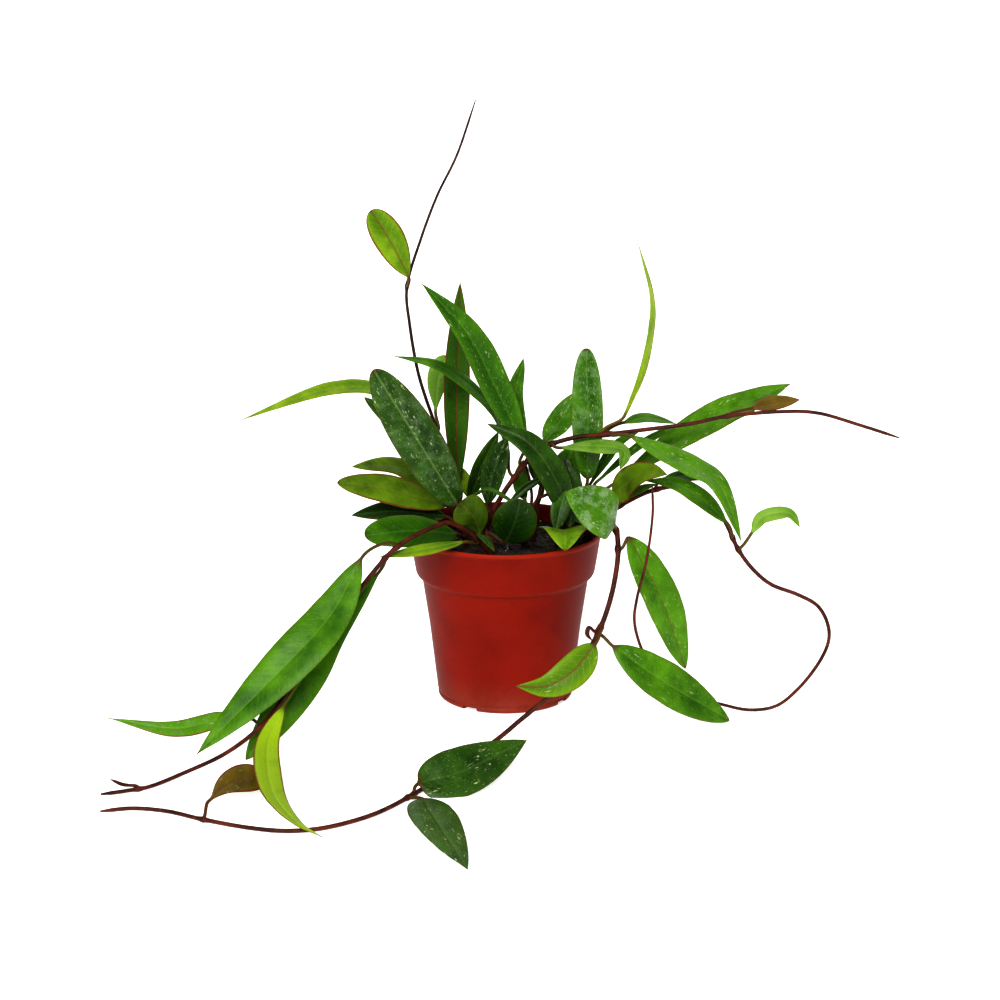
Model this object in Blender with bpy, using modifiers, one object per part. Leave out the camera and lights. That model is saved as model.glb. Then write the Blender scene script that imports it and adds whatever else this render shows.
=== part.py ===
"""Potted wax plant: a trailing hoya in a 4 inch plastic nursery pot.

Units are metres with +Z up.  The origin is the centre of the pot's base, on the surface
that the pot stands on, and -Y is the front of the plant.  The tables below give routes in
millimetres.  Each stem is its own solid, rooted in a socket in the potting mix, and each
leaf is a solid with its petiole, seated against its stem.
"""
import math

import bmesh
import bpy
from mathutils import Vector

MM = 0.001
GAP = 0.3 * MM                # clearance between neighbours that touch

# pot
RIM_RADIUS = 54.0 * MM
POT_HEIGHT = 97.0 * MM
BASE_RADIUS = 37.6 * MM
WALL = 1.2 * MM
PAD_RADIUS = 14.0 * MM        # flat pad under the middle of the pot
CHANNEL_RADIUS = 30.5 * MM    # outer edge of the raised drainage channel
CHANNEL_HEIGHT = 3.0 * MM
DRAIN_HOLES = 8
DRAIN_RADIUS = 2.6 * MM
NOTCHES = 4
NOTCH_WIDTH = 9.0 * MM
NOTCH_HEIGHT = 2.2 * MM
NOTCH_START = math.radians(238.0)
ROUND_STEPS = 40

# potting mix
SOIL_TOP = 88.0 * MM
SOIL_GAP = 0.5 * MM
SOCKET_DEPTH = 16.0 * MM
SOCKET_SLACK = 0.2 * MM       # a socket is this much wider than its stem, besides the gap
SOCKET_RISE = 4.0 * MM        # the socket's cutter stands this far above the mix
STEM_START = 1.2 * MM         # a stem's route starts this far above the potting mix

# leaves
LEAF_THICKNESS = 1.1 * MM
PETIOLE_HALF = 1.0 * MM
TIP_HALF = 0.5 * MM
PETIOLE_ROWS = 3
BLADE_ROWS = 7
CURVE_STEPS = 6               # fine steps between two midrib points
STEM_STEPS = 2                # curve points between two route points of a stem

# Outer side of the pot from the rim down to the base, radius and height in millimetres:
# bead, tapering collar, shoulder, tapering body, groove ring and rounded foot.
POT_OUTER = [
    (53.9, 97.0), (54.4, 96.4), (54.4, 94.8), (53.4, 93.8), (51.6, 82.0), (50.1, 73.0),
    (49.0, 71.2), (47.2, 70.4), (46.6, 69.2), (42.5, 42.0), (38.5, 7.5), (38.2, 4.6),
    (37.5, 3.8), (37.5, 3.0), (38.0, 2.2), (37.6, 0.6), (36.4, 0.0),
]

# Stems: root radius, tip radius and the route above the potting mix, in millimetres.
# The first point is where the stem leaves the mix; its height is set by STEM_START.
STEMS = {
    "vine_upright": (1.1, 0.6, [
        (-22, 4, 0), (-27, 7, 117), (-38, 11, 150), (-48, 13, 181), (-53, 13, 211),
        (-54, 12, 232), (-46, 8, 259), (-37, 4, 283), (-26, 0, 306), (-16, -8, 336),
    ]),
    "vine_right": (1.5, 0.9, [
        (-12, -5, 0), (-8, -8, 106), (-1, -7, 119), (5, -4, 127), (13, 1, 136), (23, 4, 143),
        (39, 4, 148), (54, 2, 150), (78, -2, 154), (102, -5, 158), (122, -8, 163),
        (150, -10, 166), (171, -11, 165.5), (194, -12, 159), (216, -13, 152),
    ]),
    "vine_left": (1.4, 1.0, [
        (-8, -26, 0), (-15, -29, 98), (-23, -34, 106), (-31, -39, 111), (-38, -46, 111),
        (-49, -54, 108), (-60, -60, 102), (-71, -66, 91), (-81, -72, 79), (-98, -86, 58),
        (-113, -97, 38), (-129, -110, 20), (-147, -122, 9), (-169, -135, 2.5),
        (-183, -149, 1.4), (-194, -155, 1.4), (-207, -160, 1.4),
    ]),
    "vine_front": (1.5, 1.0, [
        (44, -12, 0), (50, -20, 106), (55, -30, 111), (60, -40, 107), (61, -46, 98),
        (60, -51, 88), (57, -56, 74), (52, -61, 60), (45, -68, 48), (33, -79, 33),
        (19, -86, 24), (8, -90, 16), (-4, -97, 8), (-21, -115, 2), (-47, -160, 1.6),
        (-66, -187, 1.6), (-88, -204, 1.6), (-107, -209, 1.6), (-127, -205, 1.6),
        (-151, -194, 1.5), (-170, -183, 1.4), (-188, -179, 1.4), (-204, -183, 1.4),
    ]),
    "vine_loop": (1.3, 0.7, [
        (44, 3, 0), (53, 1, 103), (65, -2, 111), (82, -5, 120), (102, -8, 123),
        (115, -14, 115), (122, -20, 104), (128, -26, 92), (136, -31, 82), (146, -33, 74),
        (160, -35, 69), (171, -36, 63), (177, -36, 53), (178, -36, 42), (173, -35, 29),
        (163, -35, 15), (151, -34, 4), (136, -34, 1.4), (120, -35, 5), (103, -40, 12),
        (88, -47, 24), (76, -54, 40), (70, -58, 59), (71, -58, 74), (76, -56, 95),
        (79, -52, 118), (79, -46, 134),
    ]),
    "cutting_left": (1.4, 0.9, [
        (-22, -7, 0), (-24, -6, 104), (-28, -2, 116), (-34, 2, 128), (-40, 4, 138),
    ]),
    "cutting_front": (1.3, 0.9, [
        (-6, -17, 0), (-10, -16, 98), (-16, -15, 106), (-22, -14, 111),
    ]),
    "cutting_back_left": (1.2, 0.8, [
        (-26, 15, 0), (-26, 15, 98), (-25.5, 14, 110),
    ]),
    "cutting_centre": (1.2, 0.8, [
        (28, -10, 0), (30, -12, 98), (32, -15, 108),
    ]),
    "cutting_right": (1.4, 0.9, [
        (38, 10, 0), (41, 11, 100), (45, 12, 118),
    ]),
}

# Leaves.  Each row: name, stem, place of its node on the stem, points along the midrib from
# the blade's base to its tip (all in millimetres), blade width, the way the upper side
# faces at the base and at the tip, fold of each half about the midrib in degrees, how
# rounded the base and the tip are (0.5 is round, 1 is pointed), and the leaf's kind.
LEAVES = [
    ("leaf_upright_1", "vine_upright", (-39, 11, 150), [(-39, 16, 160), (-38, 20, 176),
     (-33, 24, 190)], 13, (0.2, -1, 0.3), (0.2, -1, 0.3), 10, 1.1, 0.5, "pale"),
    ("leaf_upright_2", "vine_upright", (-54, 12, 232), [(-53, 6, 238), (-62, 3, 257),
     (-73, 4, 275)], 18, (0.3, -1, 0.2), (0.3, -1, 0.2), 12, 0.75, 0.5, "young"),
    ("leaf_right_1", "vine_right", (-8, -8, 106), [(-10, -2, 111), (-6, 0, 130),
     (1, 0, 149)], 16, (-0.6, -0.8, 0.2), (-0.4, -0.9, 0.2), 15, 0.7, 0.8, "dark"),
    ("leaf_right_2", "vine_right", (5, -4, 127), [(1, 6, 142), (-9, 4, 166), (-34, -2, 188.5),
     (-62, -14, 198.5)], 13, (0.95, -0.2, 0.3), (0.3, -0.4, 0.9), 8, 0.9, 1.2, "mid"),
    ("leaf_right_3", "vine_right", (9, -1, 132), [(11, 3, 144), (5, 12, 168),
     (10, 16, 190)], 11, (0.5, -0.9, 0.1), (0.5, -0.9, 0.1), 15, 0.8, 0.8, "mid"),
    ("leaf_right_4", "vine_right", (13, 1, 136), [(11, -5, 143), (-6, -4, 179),
     (-21, -7, 209), (-45, -14, 238)], 20, (0.4, -0.9, 0.2), (0.5, -0.8, 0.4), 20, 0.8, 1.0,
     "mid"),
    ("leaf_right_5", "vine_right", (18, 3, 140), [(22, 12, 143), (32, 24, 154),
     (42, 32, 168)], 16, (-0.4, -0.8, 0.4), (-0.4, -0.8, 0.4), 12, 0.7, 0.8, "mid"),
    ("leaf_right_6", "vine_right", (26, 4, 144), [(31, -4, 144), (47, -9, 146),
     (64, -14, 145), (63, -20, 136)], 13, (0, -0.3, 1), (0.7, -0.6, 0.4), 12, 0.8, 0.8,
     "pale"),
    ("leaf_right_7", "vine_right", (54, 2, 150), [(66, 5, 160), (77, 7, 187), (81.5, 9, 222),
     (72, 16, 257)], 12, (-0.9, -0.3, 0.3), (-0.9, -0.2, -0.1), 15, 0.9, 1.2, "young"),
    ("leaf_right_8", "vine_right", (56, 2, 150), [(66, 10, 155), (79, 14, 156.5),
     (96, 17, 152.5)], 10, (0, -0.4, 0.9), (0, -0.3, 1), 12, 0.8, 1.1, "mid"),
    ("leaf_right_9", "vine_right", (58, 2, 150), [(69, -7, 151.5), (84, -13, 145),
     (102.5, -22, 137.5), (116.5, -31, 129), (128, -42, 101.5)], 19, (0.1, -0.5, 0.9),
     (0.8, -0.5, 0.3), 12, 0.8, 0.9, "mid"),
    ("leaf_right_10", "vine_right", (122, -8, 163), [(136, -2, 166), (150, 3, 168),
     (163, 6, 169)], 11, (-0.1, -0.6, 0.8), (-0.1, -0.6, 0.8), 12, 0.7, 0.9, "bronze"),
    ("leaf_left_1", "vine_left", (-15, -29, 98), [(-23, -44, 101.5), (-45, -58, 101),
     (-68, -55, 96.5)], 11, (0, -0.3, 1), (0.1, -0.3, 1), 10, 0.8, 0.9, "young"),
    ("leaf_left_2", "vine_left", (-58, -59, 103), [(-77, -74.5, 101), (-91.5, -91, 76.5),
     (-113, -106, 55), (-162, -120, 8)], 26, (-0.2, -0.9, 0.3), (-0.3, -0.8, 0.5), 10, 0.75,
     1.0, "mid"),
    ("leaf_left_3", "vine_left", (-65, -62.5, 98), [(-68, -58, 89), (-93, -75, 62),
     (-106, -86, 41), (-121, -98, 21), (-137, -114, 2.5)], 22, (0.1, -0.9, 0.2),
     (0.1, -0.9, 0.4), 8, 0.95, 0.75, "mid"),
    ("leaf_left_4", "vine_left", (-107, -92.5, 46), [(-117, -111, 31), (-124, -133, 17),
     (-118, -174, 8), (-104, -207, 5.5), (-90, -222, 4)], 15, (0.3, -0.5, 0.9),
     (0.4, -0.4, 0.9), 12, 0.7, 1.1, "young"),
    ("leaf_left_5", "vine_left", (-129, -110, 20), [(-136, -104, 22), (-152, -99, 19),
     (-178, -95, 12.5), (-213, -92, 18)], 12, (0, -0.6, 0.8), (0, -0.6, 0.8), 12, 0.7, 1.3,
     "mid"),
    ("leaf_front_1", "vine_front", (60, -40, 107), [(58.5, -47, 112), (53, -55, 121),
     (32, -59, 133.5)], 28, (0.4, -0.8, 0.5), (0.2, -0.8, 0.5), 8, 0.45, 0.8, "mid"),
    ("leaf_front_2", "vine_front", (61, -46, 98), [(67, -44, 104), (85.5, -45.5, 68),
     (99, -44, 29)], 24, (0.5, -0.8, 0.3), (0.6, -0.8, 0.1), 14, 0.6, 0.75, "mid"),
    ("leaf_front_3", "vine_front", (51, -62, 58), [(48, -71, 52), (36, -80, 40),
     (22, -84, 33), (5, -87, 34)], 18, (0.1, -0.9, 0.4), (0.1, -0.9, 0.3), 8, 0.6, 1.1,
     "young"),
    ("leaf_front_4", "vine_front", (50, -63, 56), [(58, -68, 50), (86, -70, 30),
     (123, -54, 2.5)], 26, (0.2, -0.8, 0.5), (0.3, -0.6, 0.7), 12, 0.7, 0.75, "mid"),
    ("leaf_front_5", "vine_front", (-47, -160, 1.6), [(-44.5, -156, 5.7), (-22.5, -149, 9.5),
     (11, -122, 16.5)], 28, (0, -0.7, 0.7), (0, -0.8, 0.6), 10, 0.42, 0.95, "dark"),
    ("leaf_front_6", "vine_front", (-50, -165, 1.6), [(-42, -171, 3), (-32, -210, 3),
     (-18.5, -256, 1.6)], 24, (0, 0, 1), (0, 0, 1), 8, 0.35, 0.9, "dark"),
    ("leaf_front_7", "vine_front", (-151, -194, 1.5), [(-149, -186, 8), (-140, -169, 10.5),
     (-123, -151, 9)], 18, (0.2, -0.6, 0.8), (0.2, -0.6, 0.8), 12, 1.4, 0.6, "bronze"),
    ("leaf_loop_1", "vine_loop", (62, -2, 109), [(60, -11, 117), (68, -20, 129),
     (77, -31, 136.5), (87, -42, 139)], 19, (-0.2, -0.8, 0.6), (-0.1, -0.7, 0.7), 14, 0.5,
     0.9, "mid"),
    ("leaf_loop_2", "vine_loop", (84, -5, 120), [(88, 1, 125), (103, 4, 126),
     (118, 7, 124)], 11, (0, -0.4, 0.9), (0, -0.4, 0.9), 12, 0.8, 0.9, "mid"),
    ("leaf_loop_3", "vine_loop", (125, -23, 98), [(121, -28, 108), (107, -25, 120.5),
     (93, -20, 127.5), (75, -15, 128.5)], 15, (0.5, -0.5, 0.7), (0, -0.5, 0.9), 14, 0.8, 1.3,
     "mid"),
    ("leaf_loop_4", "vine_loop", (128, -26, 92), [(134.5, -33, 103.5), (140, -37, 113.5),
     (153, -42, 117), (159, -47, 111)], 9, (0, -0.7, 0.7), (0.5, -0.6, 0.6), 12, 0.8, 0.8,
     "pale"),
    ("leaf_bushy_1", "cutting_left", (-23, -7, 93), [(-27, -20, 99), (-49, -38, 106),
     (-76, -49, 106.5)], 23, (0, -0.7, 0.7), (-0.1, -0.6, 0.8), 10, 0.6, 0.45, "mid"),
    ("leaf_bushy_2", "cutting_left", (-24, -6, 101), [(-33, -6, 105), (-59, -9, 109),
     (-85, -17, 109)], 16, (0, -0.6, 0.8), (0, -0.6, 0.8), 12, 0.7, 0.9, "dark"),
    ("leaf_bushy_3", "cutting_left", (-25, -5, 108), [(-33, -8, 112), (-64, -16, 123),
     (-92, -24, 129.5)], 19, (-0.1, -0.7, 0.7), (-0.2, -0.7, 0.7), 12, 0.6, 0.6, "mid"),
    ("leaf_bushy_4", "cutting_left", (-28, -2, 116), [(-39, 1, 119.5), (-60, 2, 131.5),
     (-85, -3, 133)], 15, (0, -0.5, 0.9), (-0.1, -0.5, 0.9), 12, 0.55, 0.8, "mid"),
    ("leaf_bushy_5", "cutting_left", (-31, 0, 122), [(-34, -6, 128), (-52, -9, 152),
     (-77, -14, 175)], 11, (-0.2, -0.9, 0.3), (-0.2, -0.9, 0.3), 12, 0.7, 0.7, "dark"),
    ("leaf_bushy_6", "cutting_left", (-39, 4, 137), [(-46, 4, 147), (-63, 3, 172),
     (-95, -6, 178), (-145, -22, 164)], 12.5, (0.8, -0.3, 0.6), (-0.3, -0.4, 0.9), 12, 0.8,
     1.1, "young"),
    ("leaf_bushy_7", "cutting_front", (-8, -16, 94), [(-14, -20, 99), (-17, -23, 109),
     (-25, -27, 119)], 20, (0, -0.9, 0.4), (0, -0.9, 0.4), 8, 0.9, 0.4, "dark"),
    ("leaf_bushy_8", "cutting_front", (-10, -16, 98), [(0, -24, 96), (5, -31, 109),
     (8, -34, 123)], 25, (0.1, -0.9, 0.3), (0.1, -0.9, 0.4), 8, 0.5, 0.5, "dark"),
    ("leaf_bushy_9", "cutting_front", (-20, -14, 110), [(-26, -16, 114), (-48, -28, 155),
     (-71, -34, 195)], 26, (0.1, -1, 0.2), (0, -1, 0.3), 10, 0.5, 0.5, "dark"),
    ("leaf_bushy_10", "cutting_back_left", (-26, 15, 102), [(-21, 9, 108), (-14, 7, 130),
     (-4, 8, 150)], 12, (0.6, -0.8, 0.2), (0.6, -0.8, 0.2), 15, 0.8, 0.8, "dark"),
    ("leaf_bushy_11", "cutting_back_left", (-25.5, 14, 107.5), [(-27, 15, 117),
     (-27, 17, 172), (-25, 20, 232)], 19, (0, -1, 0.1), (0, -1, 0.2), 40, 0.8, 0.85, "dark"),
    ("leaf_bushy_12", "cutting_centre", (29, -11, 92), [(30, -20, 100), (32, -40, 107),
     (32, -54, 108), (32, -62, 102)], 29, (0, -0.1, 1), (0, -0.8, 0.6), 18, 0.6, 0.8,
     "young"),
    ("leaf_bushy_13", "cutting_centre", (31, -13, 102), [(34, -18, 110), (28, -26, 130),
     (13, -28, 152), (-10, -21, 162)], 18, (0.5, -0.8, 0.2), (0.2, -0.7, 0.7), 12, 0.6, 0.9,
     "dark"),
    ("leaf_bushy_14", "cutting_centre", (32, -14, 107), [(28, -8, 112), (28, -6, 122),
     (23, -8, 134)], 13, (0.1, -0.9, 0.3), (0.1, -0.9, 0.3), 10, 0.7, 0.7, "dark"),
    ("leaf_bushy_15", "cutting_right", (40, 10, 97), [(40, 2, 105), (36, 6, 122),
     (31, 11, 136)], 13, (0, -1, 0.2), (0, -1, 0.2), 10, 0.7, 0.8, "dark"),
    ("leaf_bushy_16", "cutting_right", (42, 11, 104), [(48, 20, 117), (62, 22, 138),
     (76, 21, 148)], 9, (-0.3, -0.4, 0.8), (-0.3, -0.4, 0.8), 12, 0.9, 0.9, "mid"),
    ("leaf_bushy_17", "cutting_right", (43, 11, 109), [(51, 9, 121), (76, 8, 143),
     (102, 4, 158)], 8, (-0.4, -0.4, 0.8), (-0.4, -0.4, 0.8), 12, 1.0, 1.0, "mid"),
    ("leaf_bushy_18", "cutting_right", (44, 12, 114), [(58, 16, 116), (108, 16, 151),
     (158, 12, 176.5)], 24, (-0.4, -0.5, 0.8), (-0.4, -0.5, 0.8), 14, 1.3, 0.9, "mid"),
    ("leaf_bushy_19", "cutting_right", (45, 12, 117), [(46, 8, 123), (46, 12, 158),
     (45, 20, 195)], 19, (-0.2, -1, 0.1), (-0.2, -1, 0.2), 20, 0.45, 0.45, "mid"),
]

COLOURS = {
    "pot": ((0.30, 0.012, 0.004), 0.45),
    "soil": ((0.012, 0.009, 0.007), 0.95),
    "stem": ((0.060, 0.022, 0.012), 0.60),
    "dark": ((0.016, 0.040, 0.014), 0.35),
    "mid": ((0.050, 0.120, 0.022), 0.38),
    "young": ((0.160, 0.260, 0.030), 0.40),
    "bronze": ((0.090, 0.085, 0.025), 0.40),
    "pale": ((0.150, 0.220, 0.070), 0.42),
}


def clear_scene():
    for item in list(bpy.data.objects):
        bpy.data.objects.remove(item, do_unlink=True)


def new_collection(name):
    group = bpy.data.collections.new(name)
    bpy.context.scene.collection.children.link(group)
    return group


def paint(item, kind):
    """Give the object its own Principled material of this kind."""
    colour, roughness = COLOURS[kind]
    skin = bpy.data.materials.new(item.name + "_skin")
    skin.use_nodes = True
    shader = skin.node_tree.nodes["Principled BSDF"]
    shader.inputs["Base Color"].default_value = (*colour, 1.0)
    shader.inputs["Roughness"].default_value = roughness
    shader.inputs["Metallic"].default_value = 0.0
    skin.diffuse_color = (*colour, 1.0)
    item.data.materials.append(skin)


def mesh_object(name, shape, group):
    mesh = bpy.data.meshes.new(name)
    shape.to_mesh(mesh)
    shape.free()
    item = bpy.data.objects.new(name, mesh)
    group.objects.link(item)
    return item


def turned(name, profile, group):
    """A closed solid turned about +Z from a profile that starts and ends on the axis."""
    shape = bmesh.new()
    corners = [shape.verts.new((radius, 0.0, height)) for radius, height in profile]
    for first, second in zip(corners, corners[1:]):
        shape.edges.new((first, second))
    item = mesh_object(name, shape, group)
    screw = item.modifiers.new("Turn", "SCREW")
    screw.axis = "Z"
    screw.steps = ROUND_STEPS
    screw.render_steps = ROUND_STEPS
    screw.use_merge_vertices = True
    screw.merge_threshold = 0.00001
    return item


def cut_with(item, cutter):
    cutter.hide_render = True
    cutter.display_type = "WIRE"
    cut = item.modifiers.new("Cut", "BOOLEAN")
    cut.operation = "DIFFERENCE"
    cut.solver = "EXACT"
    cut.object = cutter


def outer_profile(inset, lowest):
    """The pot's outer side moved inwards, from the rim down to the lowest height."""
    rows = [((radius * MM) - inset, height * MM) for radius, height in POT_OUTER[3:11]]
    return [(radius, height) for radius, height in rows if height > lowest]


def pot_profile():
    """Floor, inner wall up, rim, outer wall down, foot, drainage channel and pad."""
    floor = CHANNEL_HEIGHT + WALL
    inner = outer_profile(WALL, floor)
    inner.reverse()
    slope = WALL * 0.8
    points = [(0.0, WALL), (PAD_RADIUS - slope, WALL), (PAD_RADIUS + slope, floor)]
    points += [(CHANNEL_RADIUS - slope, floor), (CHANNEL_RADIUS + slope, WALL)]
    points += [(BASE_RADIUS - 2.0 * WALL, WALL), (BASE_RADIUS - WALL, 2.0 * WALL)]
    points += inner
    points += [(RIM_RADIUS - WALL, POT_HEIGHT - 0.6 * MM), (RIM_RADIUS - 0.7 * MM, POT_HEIGHT)]
    points += [(radius * MM, height * MM) for radius, height in POT_OUTER]
    points += [(CHANNEL_RADIUS, 0.0), (CHANNEL_RADIUS - slope, CHANNEL_HEIGHT)]
    points += [(PAD_RADIUS + slope, CHANNEL_HEIGHT), (PAD_RADIUS, 0.0), (0.0, 0.0)]
    return points


def drain_cutter(group):
    """Drain holes through the channel and notches out through the foot."""
    shape = bmesh.new()
    ring = 0.5 * (PAD_RADIUS + CHANNEL_RADIUS)
    for index in range(DRAIN_HOLES):
        angle = NOTCH_START + 2.0 * math.pi * (index + 0.5) / DRAIN_HOLES
        hole = bmesh.ops.create_cone(shape, cap_ends=True, segments=10, radius1=DRAIN_RADIUS,
                                     radius2=DRAIN_RADIUS, depth=8.0 * WALL)["verts"]
        place = (ring * math.cos(angle), ring * math.sin(angle), CHANNEL_HEIGHT)
        bmesh.ops.translate(shape, verts=hole, vec=place)
    for index in range(NOTCHES):
        angle = NOTCH_START + 2.0 * math.pi * index / NOTCHES
        block = bmesh.ops.create_cube(shape, size=1.0)["verts"]
        reach = BASE_RADIUS - CHANNEL_RADIUS + 4.0 * MM
        bmesh.ops.scale(shape, verts=block, vec=(reach, NOTCH_WIDTH, 2.0 * NOTCH_HEIGHT))
        bmesh.ops.translate(shape, verts=block, vec=(BASE_RADIUS - 0.1 * reach, 0.0, 0.0))
        turn = Vector((0.0, 0.0, 1.0))
        for corner in block:
            corner.co = rotated(corner.co, turn, angle)
    return mesh_object("drain_cutter", shape, group)


def rotated(point, axis, angle):
    """The point turned about an axis through the origin."""
    along = axis * axis.dot(point)
    across = point - along
    return along + across * math.cos(angle) + axis.cross(point) * math.sin(angle)


def make_pot(group, cutters):
    pot = turned("pot", pot_profile(), group)
    cut_with(pot, drain_cutter(cutters))
    paint(pot, "pot")
    return pot


def soil_profile():
    """Slightly mounded top, sides inside the pot wall and a flat underside."""
    bottom = CHANNEL_HEIGHT + WALL + GAP
    side = outer_profile(WALL + SOIL_GAP, bottom + 2.0 * MM)
    side = [(radius, height) for radius, height in side if height < SOIL_TOP - 1.0 * MM]
    edge = side[0][0]
    points = [(0.0, SOIL_TOP), (0.7 * edge, SOIL_TOP - 0.3 * MM)]
    points += [(edge - 1.5 * MM, SOIL_TOP - 1.0 * MM), (edge, side[0][1])]
    points += side[1:]
    points += [(side[-1][0] - 1.5 * MM, bottom), (0.0, bottom)]
    return points


def socket_cutter(group):
    """One round socket in the potting mix for each stem."""
    shape = bmesh.new()
    for root, _, route in STEMS.values():
        radius = root * MM + SOCKET_SLACK + GAP
        height = SOCKET_DEPTH + SOCKET_RISE
        socket = bmesh.ops.create_cone(shape, cap_ends=True, segments=12, radius1=radius,
                                       radius2=radius, depth=height)["verts"]
        centre = SOIL_TOP - SOCKET_DEPTH + 0.5 * height
        place = (route[0][0] * MM, route[0][1] * MM, centre)
        bmesh.ops.translate(shape, verts=socket, vec=place)
    return mesh_object("socket_cutter", shape, group)


def make_soil(group, cutters):
    soil = turned("potting_mix", soil_profile(), group)
    cut_with(soil, socket_cutter(cutters))
    paint(soil, "soil")
    return soil


def smooth_route(points, steps):
    """Points along a Catmull-Rom curve through the given points."""
    ends = [points[0] * 2.0 - points[1]] + points + [points[-1] * 2.0 - points[-2]]
    route = []
    for before, start, end, after in zip(ends, ends[1:], ends[2:], ends[3:]):
        for index in range(steps):
            t = index / steps
            bend = (start * 2.0 + (end - before) * t
                    + (before * 2.0 - start * 5.0 + end * 4.0 - after) * t ** 2
                    + (start * 3.0 - before - end * 3.0 + after) * t ** 3)
            route.append(bend * 0.5)
    route.append(points[-1])
    return route


def stem_line(name):
    """Centre line of a stem above the potting mix, with its radius at each point."""
    root, tip, route = STEMS[name]
    points = [Vector(place) * MM for place in route]
    points[0].z = SOIL_TOP + STEM_START
    line = smooth_route(points, STEM_STEPS)
    last = len(line) - 1
    radii = [(root + (tip - root) * index / last) * MM for index in range(len(line))]
    return line, radii


def make_stem(name, group):
    """A tube with rounded joints that tapers from its socket to its tip."""
    line, radii = stem_line(name)
    foot = line[0].copy()
    foot.z = SOIL_TOP - SOCKET_DEPTH + GAP
    line = [foot] + line
    radii = [radii[0]] + radii
    curve = bpy.data.curves.new(name, "CURVE")
    curve.dimensions = "3D"
    curve.bevel_depth = 1.0
    curve.bevel_resolution = 2
    curve.use_fill_caps = True
    spline = curve.splines.new("POLY")
    spline.points.add(len(line) - 1)
    for point, place, radius in zip(spline.points, line, radii):
        point.co = (*place, 1.0)
        point.radius = radius
    item = bpy.data.objects.new(name, curve)
    group.objects.link(item)
    paint(item, "stem")
    return item


def stem_node(stem, place):
    """Point, direction and radius of the stem where it passes nearest to the place."""
    line, radii = stem_line(stem)
    best = None
    for index in range(len(line) - 1):
        start = line[index]
        run = line[index + 1] - start
        share = max(0.0, min(1.0, (place - start).dot(run) / run.length_squared))
        point = start + run * share
        distance = (place - point).length
        if best is None or distance < best[0]:
            best = (distance, point, run.normalized(), radii[index])
    return best[1:]


def blade_curve(points):
    """Fine points along the midrib, each with its share of the length."""
    line = smooth_route(points, CURVE_STEPS)
    shares = [0.0]
    for start, end in zip(line, line[1:]):
        shares.append(shares[-1] + (end - start).length)
    return line, [share / shares[-1] for share in shares]


def blade_point(line, shares, u):
    """Point at the share u of the midrib's length."""
    for index in range(len(line) - 2):
        if shares[index + 1] >= u:
            break
    part = (u - shares[index]) / (shares[index + 1] - shares[index])
    return line[index].lerp(line[index + 1], part)


def petiole_point(root, way, base, lead, t):
    """Point at t on the petiole, which leaves the stem squarely and runs into the blade."""
    reach = (base - root).length
    square = t * t
    cube = square * t
    return (root * (2.0 * cube - 3.0 * square + 1.0) + base * (3.0 * square - 2.0 * cube)
            + way * (reach * (cube - 2.0 * square + t)) + lead * (reach * (cube - square)))


def leaf_rows(stem, node, midrib, width, base_round, tip_round):
    """Centre points from the stem to the tip, each with its half width and place along."""
    point, run, radius = stem_node(stem, node)
    base = midrib[0]
    across = base - point
    across -= run * across.dot(run)
    way = across.normalized()
    root = point + way * (radius + GAP)
    line, shares = blade_curve(midrib)
    lead = (line[1] - line[0]).normalized()
    rows = []
    for index in range(PETIOLE_ROWS):
        t = index / PETIOLE_ROWS
        rows.append((petiole_point(root, way, base, lead, t), PETIOLE_HALF, 0.0))
    widest = base_round / (base_round + tip_round)
    peak = widest ** base_round * (1.0 - widest) ** tip_round
    for index in range(BLADE_ROWS + 1):
        u = 0.5 - 0.5 * math.cos(math.pi * index / BLADE_ROWS)
        spread = 0.5 * width * (u ** base_round * (1.0 - u) ** tip_round) / peak
        least = PETIOLE_HALF if u < 0.5 else TIP_HALF
        rows.append((blade_point(line, shares, u), max(spread, least), u))
    return rows, way


def make_leaf(row, group):
    """A folded blade on its petiole, from a grid three points wide."""
    name, stem, node, midrib, width, face, tip_face, fold, base_round, tip_round, kind = row
    points = [Vector(place) * MM for place in midrib]
    rows, way = leaf_rows(stem, Vector(node) * MM, points, width * MM, base_round, tip_round)
    first_face = Vector(face).normalized()
    last_face = Vector(tip_face).normalized()
    count = len(rows)
    shape = bmesh.new()
    bmesh.ops.create_grid(shape, x_segments=2, y_segments=count - 1, size=1.0)
    for corner in shape.verts:
        index = round((corner.co.y + 1.0) * 0.5 * (count - 1))
        side = round(corner.co.x)
        centre, spread, u = rows[index]
        before = rows[max(index - 1, 0)][0]
        after = rows[min(index + 1, count - 1)][0]
        run = way if index == 0 else (after - before).normalized()
        up = first_face.lerp(last_face, u)
        across = run.cross(up).normalized()
        lift = across.cross(run)
        bend = math.radians(fold) * min(1.0, spread / (3.0 * PETIOLE_HALF))
        reach = across * (side * math.cos(bend)) + lift * (abs(side) * math.sin(bend))
        corner.co = centre + reach * spread
    item = mesh_object(name, shape, group)
    shell = item.modifiers.new("Thickness", "SOLIDIFY")
    shell.thickness = LEAF_THICKNESS
    shell.offset = 0.0
    shell.use_rim = True
    paint(item, kind)
    return item


def main():
    clear_scene()
    plant = new_collection("potted_hoya")
    cutters = new_collection("cutters")
    make_pot(plant, cutters)
    make_soil(plant, cutters)
    for name in STEMS:
        make_stem(name, plant)
    for row in LEAVES:
        make_leaf(row, plant)


main()
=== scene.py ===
# %% [markdown]
# # Potted wax plant
# A trailing hoya in a small plastic nursery pot.  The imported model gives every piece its
# size and place.  This script rebuilds each piece with a fine surface and a real finish,
# in the same frame: metres, +Z up, and the origin under the middle of the pot.

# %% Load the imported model
import math

import bmesh
import bpy
from mathutils import Matrix, Vector, noise


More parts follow.
